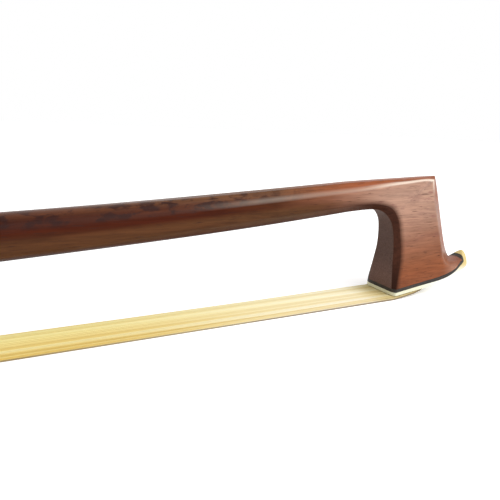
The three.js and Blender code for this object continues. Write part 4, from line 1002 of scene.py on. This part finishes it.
class BOW_OT_stick(bpy.types.Operator):
    """Build the stick and its head in varnished wood"""
    bl_idname = "bow.stick"
    bl_label = "Stick and head"

    def execute(self, context):
        sizes = settings("bow_stick")
        join_x, rings = head_rings(sizes)
        points, faces = loft([stick_ring(sizes, x) for x in stick_places(join_x)] + rings)
        piece = fix_normals(piece_from("stick_body", points, faces, varnished_wood(sizes)))
        far = 4 * sizes.head_length
        outline = prolonged(head_faces(sizes)[0])
        outline += [(far, outline[-1][1]), (far, -far), (-OVERCUT, -far)]
        carve(piece, head_cutter(sizes, outline))
        cut_mortise(sizes, piece)
        carve(piece, rod(*NIPPLE), "UNION")
        carve(piece, side_cutter(rectangle(*EYELET_SLOT), EYELET_SLOT_HALF))
        for bore in SCREW_BORES:
            carve(piece, rod(*bore))
        soften(piece, 24)
        self.finish_marks(sizes, piece, points, faces[:-2])
        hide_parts("stick")
        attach(piece, "stick")
        return {"FINISHED"}

    def finish_marks(self, sizes, piece, points, faces):
        """Carries each finish's share from the uncut skin to the carved piece."""
        corners = [Vector(p[:3]) + OFFSET for p in points]
        marks = [self.shares(sizes, p) for p in points]
        skin = BVHTree.FromPolygons(corners, faces)
        values = {name: [] for name in marks[0]}
        for vertex in piece.data.vertices:
            place, _, index, _ = skin.find_nearest(vertex.co)
            face = faces[index]
            weights = poly_3d_calc([corners[k] for k in face], place)
            for name, kept in values.items():
                kept.append(sum(w * marks[k][name] for w, k in zip(weights, face)))
        for name, kept in values.items():
            mark(piece, name, kept)

    def shares(self, sizes, point):
        """How much of each finish a point of the skin takes."""
        x, _, z, place, to_shoulder, to_lower = point
        a, b = to_head(sizes, x, z)
        behind = HEAD_X - x
        at_head = smoothstep(behind, *AT_HEAD)
        near = smoothstep(behind, *NEAR_HEAD)
        below_ridge = 1.0 - smoothstep(b, *RIDGE_TOP)
        front = smoothstep(place, *FRONT_PLACE) * below_ridge * at_head

        top_low = TOP_PLACE[0] - 0.3 * near + 0.1 * at_head
        top = smoothstep(place, top_low, TOP_PLACE[1] - 0.65 * near)
        # Painted shade on the lower bevels near the head and on the stick's underside
        bevels = 1.0 - smoothstep(place, *LOWER_BEVEL)
        if place > 1.5:
            bevels = 0.8 * (1.0 - smoothstep(to_lower, *LOWER_EDGE))
        under = 1.0 - smoothstep(place, *UNDERSIDE)
        # Painted sheen: paler high on the cheeks and on the nose's sides
        height = smoothstep(b, *CHEEK_HEIGHT)
        painted_sheen = (0.04 + 0.96 * height ** 1.15) * smoothstep(behind, *CHEEK_START)
        painted_sheen = max(painted_sheen, 0.5 * smoothstep(a, *NOSE_SIDE))

        # Painted highlight along the shoulder edge, held in worn: moved onto the edge's upper side, where
        # light from above falls, and fading away from the head and down the front
        shift = 0.0003 + 0.00035 * smoothstep(behind, *PEAK)
        reach = abs(to_shoulder - shift) if place > 2.5 else to_shoulder + shift
        worn = 1.0 - smoothstep(reach, *HIGHLIGHT_WIDTH)
        worn *= smoothstep(behind, *HIGHLIGHT_START) * (0.19 + 0.81 * smoothstep(behind, *HIGHLIGHT_FULLY))
        worn *= 1.0 - 0.93 * below_ridge * at_head

        def round_place(rise, fall, most=1.0):
            return smoothstep(place, *rise) * (1.0 - most * smoothstep(place, *fall))

        return {
            "top": top * (1.0 - 0.5 * front),
            "lower_shade": max(bevels * at_head, under * (0.5 + 0.4 * near)),
            "rear": (1.0 - smoothstep(place, *REAR_PLACE)) * smoothstep(behind, *REAR_START),
            "belly_reflection": round_place(*BELLY_PLACES) * (1.0 - at_head),
            "painted_sheen": painted_sheen * (1.0 - 0.8 * front),
            "shoulder_highlight": worn,
            "nose": smoothstep(place, *NOSE_PLACE) * smoothstep(b, *NOSE_HEIGHT) * at_head,
            "flank": round_place(*FLANK_PLACES, 0.6),
            "red": round_place(*RED_PLACES),
        }


class BOW_OT_head_layers(bpy.types.Operator):
    """Build the liner and the plate under the head"""
    bl_idname = "bow.head_layers"
    bl_label = "Head liner and plate"

    plate_edge = 0.00012

    def execute(self, context):
        sizes = settings("bow_stick")
        _, rings = head_rings(sizes)
        wood, plate = head_faces(sizes)
        liner_top, liner_bottom, plate_top = (prolonged(line) for line in (
            shifted(wood, GLUE_LINE),
            shifted(wood, GLUE_LINE + LINER_THICKNESS, LINER_THINNED),
            shifted(wood, 2 * GLUE_LINE + LINER_THICKNESS, LINER_THINNED),
        ))
        far = 2 * sizes.head_length
        around_plate = [(far, plate_top[-1][1]), (far, plate[-1][1])]
        around_plate += [*plate[::-1], (-OVERCUT, plate[0][1])]
        for name, node, outline, material, slot, edge in [
            ("head_liner_layer", "head_liner", liner_top + liner_bottom[::-1],
             thin_black(sizes), "liner_black", None),
            ("head_plate_layer", "head_plate", plate_top + around_plate,
             smooth_plate(sizes), "ivory_white", self.plate_edge),
        ]:
            piece = fix_normals(piece_from(name, *loft(rings), material))
            carve(piece, head_cutter(sizes, outline), "INTERSECT")
            cut_mortise(sizes, piece)
            if edge:
                round_edges(piece, edge, 2, 40)
            soften(piece, 30)
            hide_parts(node)
            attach(piece, "stick")
        return {"FINISHED"}


# The hair: its ribbon, the thin core inside it, and how far single hairs stray
BAND = HAIR_THICKNESS - GLUE_LINE
BAND_EDGE = 0.00006
HAIR_ROWS = 4
HAIR_STATIONS = 26
STRAND_SIDES = 5
STRAYS = 7
CORE_COLUMNS = 12
CORE_THICKNESS = 0.18
CORE_WIDTH = 0.975
CORE_TONE = 0.55
SIDE_SAG = 0.0004
SHARE_JITTER = 0.006
LEVEL_JITTER = 0.06
STRAY_LEVELS = (0.0, 0.35)
STRAY_SHARES = (-0.012, 0.03)
STRAY_WANDER = 2.5
DRIFT = 0.012
WAVE = 0.006
WAVE_TURNS = (1.0, 3.5)
STRAND_GIRTHS = (0.85, 1.15)
EDGE_LIMIT = 0.99


def hair_route(stick, level):
    """The hair's way, as (x, z, half width share), from the frog's knot to the head's."""
    depth = BAND_EDGE + level * (BAND - 2 * BAND_EDGE)
    knot = depth - BAND / 2
    low = depth - HAIR_THICKNESS
    in_frog = [
        (0.0190, 0.00695 + knot, 0.30), (0.0160, 0.00695 + knot, 0.30), (0.01385 + depth, 0.0064, 0.55),
        (0.01355 + depth, 0.0047, 0.70), (0.01355 + depth, 0.0031, 0.70), (0.0140, 0.00207 + depth, 0.71),
        (0.0200, 0.00205 + depth, 0.72), (0.0300, 0.00205 + depth, 0.84), (0.0358, 0.00203 + depth, 0.85),
        (0.0375, 0.00115 + depth, 0.90), (0.0392, 0.00032 + depth, 0.95), (0.0450, 0.00030 + depth, 1.0),
        (0.0493, 0.00030 + depth, 1.0),
    ]
    in_head = [
        (0.0030, low, 0.98), (0.0060, low, 0.92), (0.0085, low, 0.78), (0.0105, low, 0.57),
        (0.01155, low + 0.0006, 0.56), (0.01189 - depth, 0.0030, 0.56), (0.01189 - depth, 0.0052, 0.48),
        (0.0108, 0.00645 + knot, 0.3), (0.0085, 0.00645 + knot, 0.3),
    ]
    way = [(FROG_HEEL + x, FROG_FLOOR + z, width) for x, z, width in in_frog]
    start_x, start_z, _ = way[-1]
    for k in range(1, HAIR_STATIONS + 1):
        t = k / HAIR_STATIONS
        x = start_x + (HEAD_X - HAIR_LANDING - start_x) * t
        way.append((x, start_z + (low - start_z) * t, 1.0))
    way.append((HEAD_X, low, 1.0))
    return way + [(*from_head(stick, a, b), width) for a, b, width in in_head]


def hair_sag(x, across, level):
    """How far the ribbon's rounded sides lie below its middle, away from both ends."""
    free = smoothstep(x, HEAD_X - 0.006, HEAD_X - 0.04)
    free *= smoothstep(x, FROG_NOSE + 0.004, FROG_NOSE + 0.04)
    return SIDE_SAG * level * free * smoothstep(abs(across), 0.55, 1.0)


def swept(way, section):
    """Rings square to the way, where section turns each (x, width) into points (across, up)."""
    rings = []
    for k, (x, z, width) in enumerate(way):
        before, after = way[max(k - 1, 0)], way[min(k + 1, len(way) - 1)]
        dx, dz = after[0] - before[0], after[1] - before[1]
        reach = math.hypot(dx, dz)
        rings.append([(x - dz / reach * up, y, z + dx / reach * up) for y, up in section(x, width)])
    return rings


class HairMesh:
    """Gathers skins, with the tone of each point and how far its hair has strayed."""

    def __init__(self):
        self.points = []
        self.faces = []
        self.tones = []
        self.strays = []

    def add(self, rings, tone, stray=0.0, flipped=False):
        points, faces = loft(rings, flipped=flipped)
        first = len(self.points)
        self.faces += [tuple(first + k for k in face) for face in faces]
        self.points += points
        self.tones += [tone] * len(points)
        self.strays += [stray] * len(points)


class BOW_OT_hair(bpy.types.Operator):
    """Build the hair, from the knot in the frog to the knot in the head"""
    bl_idname = "bow.hair"
    bl_label = "Hair"

    def execute(self, context):
        hair = settings("bow_hair")
        stick = settings("bow_stick")
        chance = random.Random(7)
        mesh = HairMesh()
        mesh.add(self.core(stick, hair), CORE_TONE)
        for j in range(hair.strands):
            share = (j + 0.5) / hair.strands * 2 - 1
            share += chance.uniform(-SHARE_JITTER, SHARE_JITTER)
            level = (j % HAIR_ROWS + 0.5) / HAIR_ROWS + chance.uniform(-LEVEL_JITTER, LEVEL_JITTER)
            stray = 0.0
            if j < STRAYS:
                stray = chance.uniform(0.5, 1.0)
                level = chance.uniform(*STRAY_LEVELS)
                share = -1 + chance.uniform(*STRAY_SHARES)
            tone = 0.34 * chance.random() ** 1.5 + 0.35 * smoothstep(-share, 0.12, 0.34)
            rings = self.strand(stick, hair, share, level, stray, chance)
            mesh.add(rings, tone, stray, flipped=True)
        piece = piece_from("hair", mesh.points, mesh.faces, horsehair(hair), 60)
        mark(piece, "strand", mesh.tones)
        mark(piece, "stray", mesh.strays)
        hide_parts("hair_ribbon", "hair_head_end", "hair_frog_end")
        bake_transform(piece)
        return {"FINISHED"}

    def core(self, stick, hair):
        """A thin sheet inside the hair, so that no light comes through."""
        thin = BAND * CORE_THICKNESS
        ring = [(-1 + 2 * k / CORE_COLUMNS, -1) for k in range(CORE_COLUMNS + 1)]
        ring += [(1 - 2 * k / CORE_COLUMNS, 1) for k in range(CORE_COLUMNS + 1)]

        def section(x, width):
            return [
                (across * hair.half_width * CORE_WIDTH * width,
                 thin * side - hair_sag(x, across, 0.5 + 0.2 * side))
                for across, side in ring
            ]

        return swept(hair_route(stick, 0.5), section)

    def strand(self, stick, hair, share, level, stray, chance):
        """One hair, which wanders a little to either side."""
        way = hair_route(stick, level)
        drift = chance.uniform(-DRIFT, DRIFT)
        phase = chance.uniform(0, 2 * math.pi)
        turns = chance.uniform(*WAVE_TURNS)
        radius = hair.strand_radius * chance.uniform(*STRAND_GIRTHS)
        start, end = way[0][0], way[-1][0]
        angles = [2 * math.pi * i / STRAND_SIDES for i in range(STRAND_SIDES)]

        def section(x, width):
            t = (x - start) / (end - start)
            wander = drift * math.sin(math.pi * t) + WAVE * math.sin(phase + turns * 2 * math.pi * t)
            across = max(min(share + wander, EDGE_LIMIT), -EDGE_LIMIT)
            if stray:
                across = share + wander * STRAY_WANDER
            y = across * (hair.half_width - hair.strand_radius) * width
            sunk = hair_sag(x, across, level)
            return [(y + radius * math.cos(angle), radius * math.sin(angle) - sunk) for angle in angles]

        return swept(way, section)


# The lapping and the thumb leather on the handle
WRAP_SEAT = 0.00006
LAPPING_START = 0.086
LAPPING_TURNS = 14
LAPPING_PITCH = 0.004
LAPPING_STEPS = 48
LAPPING_FIRST_TURN = 0.5 / 16
LAPPING_CROWN = 0.0001
LEATHER_START = 0.060
LEATHER_LENGTH = 0.026
LEATHER_TAPER = 0.0015
LEATHER_STATIONS = 30


class BOW_OT_grip(bpy.types.Operator):
    """Build the thumb leather and the two bands of lapping"""
    bl_idname = "bow.grip"
    bl_label = "Thumb leather and lapping"

    def execute(self, context):
        grip = settings("bow_grip")
        stick = settings("bow_stick")
        self.leather(grip, stick)
        for phase, name, node, slot, shade in [
            (0.0, "lapping_band_dark", "lapping_dark", "lapping_brown", grip.dark_band),
            (0.5, "lapping_band_light", "lapping_light", "lapping_cream", grip.light_band),
        ]:
            piece = self.band(grip, stick, phase, name, banding(name, shade))
            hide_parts(node)
            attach(piece, "stick")
        return {"FINISHED"}

    def band(self, grip, stick, phase, name, material):
        """One band, wound along the handle, with a crowned back."""
        start = LAPPING_START + grip.band_width
        half = grip.band_width / 2
        outline = [(-half, 0.0), (half, 0.0), (half, 0.7), (0.86 * half, 0.97)]
        for k in range(7):
            outline.append((half * (0.6 - 0.2 * k), 1.0 + 0.12 * math.sin(math.pi * (k + 1) / 8)))
        outline += [(-0.86 * half, 0.97), (-half, 0.7)]
        rings = []
        for k in range(LAPPING_TURNS * LAPPING_STEPS + 1):
            turn = k / LAPPING_STEPS
            angle = 2 * math.pi * (turn + LAPPING_FIRST_TURN)
            x = start + LAPPING_PITCH * (turn + phase)
            radius = stick_radius(stick, x) + WRAP_SEAT
            ring = []
            for along, out in outline:
                r = radius + out * grip.band_thickness + LAPPING_CROWN * max(out - 1, 0) * 4
                ring.append((x + along, r * math.cos(angle), stick_axis(x) + r * math.sin(angle)))
            rings.append(ring)
        return fix_normals(piece_from(name, *loft(rings), material, 50))

    def leather(self, grip, stick):
        """A wrap that thins at both ends and is a little worn in its middle."""
        outer, inner = [], []
        chance = random.Random(3)
        end = LEATHER_START + LEATHER_LENGTH
        worn_place = LEATHER_START + LEATHER_LENGTH * 0.45
        for k in range(LEATHER_STATIONS + 1):
            x = LEATHER_START + LEATHER_LENGTH * k / LEATHER_STATIONS
            edge = min(x - LEATHER_START, end - x) / LEATHER_TAPER
            full = 0.45 + 0.55 * math.sqrt(max(0.0, min(edge, 1.0)))
            worn = 0.06 * smoothstep(abs(x - worn_place), 0.009, 0.0)
            thickness = grip.leather_thickness * (full - worn) + chance.uniform(-1, 1) * 0.00001
            outer.append(stick_ring(stick, x, WRAP_SEAT + thickness))
            inner.append(stick_ring(stick, x, WRAP_SEAT))
        points, faces = loft(outer + inner[::-1], joined=True)
        piece = fix_normals(piece_from("thumb_leather_wrap", points, faces, grained_leather(grip), 55))
        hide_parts("thumb_leather")
        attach(piece, "stick")


class BOW_OT_fittings(bpy.types.Operator):
    """Build the frog, the button and the hidden pieces with rounded edges and their finishes"""
    bl_idname = "bow.fittings"
    bl_label = "Frog and button"

    rounding = {
        "frog": 0.00035, "button_core": 0.00018, "button_collar": 0.00016, "button_cap": 0.00022,
        "ferrule": 0.00018, "heel_plate_upper": 0.00012, "heel_plate_lower": 0.00012,
        "underslide": 0.00008, "pearl_slide": 0.00006, "eyelet": 0.0002, "adjusting_screw": 0.00015,
    }
    thread_radius = 0.00014
    thread_sides = 7
    thread_steps = 28

    def execute(self, context):
        fittings = settings("bow_fittings")
        finishes = {
            "blackwood": polished_blackwood(fittings),
            "nickel_silver": silvery_metal("silvery_metal", fittings.metal, 0.2, 0.34),
            "pearl": pearl_shell(fittings),
            "plug_wood": plain_wood(fittings),
            "brass": silvery_metal("brass", fittings.brass, 0.28, 0.42),
            "steel": silvery_metal("bright_steel", fittings.steel, 0.25, 0.4),
        }
        bodies = frame["record"]["behaviour"]["bodies"]
        body_of = {node: body for body, nodes in bodies.items() for node in nodes}
        for entry in frame["record"]["subparts"]:
            name, slot = entry["node"], entry["material_slot"]
            if slot in finishes:
                piece = self.dressed(name, finishes[slot])
                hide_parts(name)
                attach(piece, body_of[name])
        thread = waxed_thread(fittings)
        for name in ("head_binding", "frog_binding"):
            piece = self.winding(name, thread)
            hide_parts(name)
            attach(piece, body_of[name])
        return {"FINISHED"}

    def dressed(self, name, material):
        """A copy of a solid with rounded edges and smooth curves."""
        mesh = frame["nodes"][name].data.copy()
        mesh.name = name + "_piece"
        mesh.materials.clear()
        mesh.materials.append(material)
        piece = bpy.data.objects.new(name + "_piece", mesh)
        bpy.context.scene.collection.objects.link(piece)
        work = bmesh.new()
        work.from_mesh(mesh)
        bmesh.ops.remove_doubles(work, verts=work.verts, dist=0.000002)
        bmesh.ops.dissolve_limit(work, angle_limit=math.radians(0.6), verts=work.verts, edges=work.edges)
        work.to_mesh(mesh)
        work.free()
        if name in self.rounding:
            round_edges(piece, self.rounding[name], 3, 34)
        soften(piece, 28)
        return piece

    def winding(self, name, material):
        """Thread wound round a knot, inside the room that its solid takes."""
        low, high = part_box(name)
        radius = self.thread_radius
        middle = (low + high) / 2
        across = (high.y - low.y) / 2 - radius
        up = (high.z - low.z) / 2 - radius
        turns = int((high.x - low.x - 2 * radius) / (2 * radius))
        around = [2 * math.pi * j / self.thread_sides for j in range(self.thread_sides)]
        rings = []
        for k in range(turns * self.thread_steps + 1):
            angle = 2 * math.pi * k / self.thread_steps
            x = low.x + radius + k / self.thread_steps * 2 * radius
            rings.append([
                (x + radius * math.cos(turn) - OFFSET.x,
                 middle.y + (across + radius * math.sin(turn)) * math.cos(angle),
                 middle.z + (up + radius * math.sin(turn)) * math.sin(angle) - OFFSET.z)
                for turn in around
            ])
        return fix_normals(piece_from(name + "_thread", *loft(rings), material, 60))


# The stage, with the camera's place and turn measured from the rear edge of the head plate
WHITE = (1.0, 1.0, 1.0)
FLOOR_SHADES = ((0.9, 0.9, 0.9), (0.88, 0.88, 0.88))
FLOOR_GLOW = 0.42
FLOOR_ROUGHNESS = 0.9
LAMP_PLACE = (0.8, -0.9, 1.35)
LAMP_AIM = (0.2, 0.0, 0.0)
LAMP_SIZE = 1.5
SENSOR_WIDTH = 36.0
CAMERA_REACH = (0.005, 20.0)
CAMERA_PLACE = (-0.07250347, -0.07720139, 0.03354618)
CAMERA_RIGHT = (0.8903194496, -0.4533221028, 0.0427825748)
CAMERA_DOWN = (-0.0746322161, -0.2379702951, -0.9684008318)
CAMERA_FORWARD = (0.4491784834, 0.8589931372, -0.2457020152)


class BOW_OT_stage(bpy.types.Operator):
    """Set up the floor, the light and the camera"""
    bl_idname = "bow.stage"
    bl_label = "Stage"

    def execute(self, context):
        stage = settings("bow_stage")
        scene = context.scene
        scene.view_settings.view_transform = "Standard"
        self.floor(stage.floor_size / 2)
        self.world(stage.fill, scene)
        self.lamp(stage.key_power, scene)
        self.camera(stage.lens, scene)
        return {"FINISHED"}

    def floor(self, half):
        mesh = bpy.data.meshes.new("floor")
        corners = [(-half, -half, 0), (half, -half, 0), (half, half, 0), (-half, half, 0)]
        mesh.from_pydata(corners, [], [(0, 1, 2, 3)])
        floor = bpy.data.objects.new("floor", mesh)
        bpy.context.scene.collection.objects.link(floor)
        n = Finish("pale_floor")
        base = n.over(*FLOOR_SHADES, n.noise((30, 30, 30), detail=2.0), 0.3, 0.7)
        glow = n.math("MULTIPLY", n.seen(), FLOOR_GLOW)
        emission = {"Emission Color": tint(WHITE), "Emission Strength": glow}
        mesh.materials.append(n.finish(base, FLOOR_ROUGHNESS, emission))

    def world(self, fill, scene):
        scene.world = bpy.data.worlds.new("studio")
        n = Nodes(scene.world)
        back = n.tree.nodes["Background"]
        back.inputs["Color"].default_value = tint(WHITE)
        mix = n.add("ShaderNodeMix", {"Factor": n.seen(), "A": fill, "B": 1.0}, data_type="FLOAT")
        n.feed(back.inputs["Strength"], mix.outputs["Result"])

    def lamp(self, power, scene):
        data = bpy.data.lights.new("key_light", "AREA")
        data.shape = "DISK"
        data.size = LAMP_SIZE
        data.energy = power
        lamp = bpy.data.objects.new("key_light", data)
        scene.collection.objects.link(lamp)
        lamp.location = LAMP_PLACE
        aim = Vector(LAMP_AIM) - Vector(LAMP_PLACE)
        lamp.rotation_euler = aim.to_track_quat("-Z", "Y").to_euler()

    def camera(self, lens, scene):
        data = bpy.data.cameras.new("camera")
        data.lens = lens
        data.sensor_width = SENSOR_WIDTH
        data.clip_start, data.clip_end = CAMERA_REACH
        camera = bpy.data.objects.new("camera", data)
        scene.collection.objects.link(camera)
        place = Vector(CAMERA_PLACE) + Vector((HEAD_X, 0, 0)) + OFFSET
        rows = (Vector(CAMERA_RIGHT), -Vector(CAMERA_DOWN), -Vector(CAMERA_FORWARD))
        camera.matrix_world = Matrix.Translation(place) @ Matrix(rows).transposed().to_4x4()
        scene.camera = camera


class BOW_PT_panel(bpy.types.Panel):
    """Lists the bow's pieces and their sizes"""
    bl_label = "Violin Bow"
    bl_idname = "BOW_PT_panel"
    bl_space_type = "VIEW_3D"
    bl_region_type = "UI"
    bl_category = "Violin Bow"

    def draw(self, context):
        layout = self.layout
        for name, group in SETTINGS.items():
            box = layout.box()
            box.label(text=group.__doc__)
            for prop in group.__annotations__:
                box.prop(getattr(context.scene, name), prop)
        for operator in OPERATORS:
            layout.operator(operator.bl_idname)


OPERATORS = (
    BOW_OT_stick,
    BOW_OT_head_layers,
    BOW_OT_hair,
    BOW_OT_grip,
    BOW_OT_fittings,
    BOW_OT_stage,
)
CLASSES = (*SETTINGS.values(), *OPERATORS, BOW_PT_panel)


def register():
    for cls in CLASSES:
        bpy.utils.register_class(cls)
    for name, group in SETTINGS.items():
        setattr(bpy.types.Scene, name, bpy.props.PointerProperty(type=group))


def unregister():
    for name in SETTINGS:
        delattr(bpy.types.Scene, name)
    for cls in reversed(CLASSES):
        bpy.utils.unregister_class(cls)


def corners(bounds):
    return [list(corner) for corner in bounds]


def main():
    register()
    for operator in OPERATORS:
        group, name = operator.bl_idname.split(".")
        result = getattr(getattr(bpy.ops, group), name)()
        if result != {"FINISHED"}:
            raise RuntimeError(operator.bl_label + " was not built")


if __name__ == "__main__":
    main()
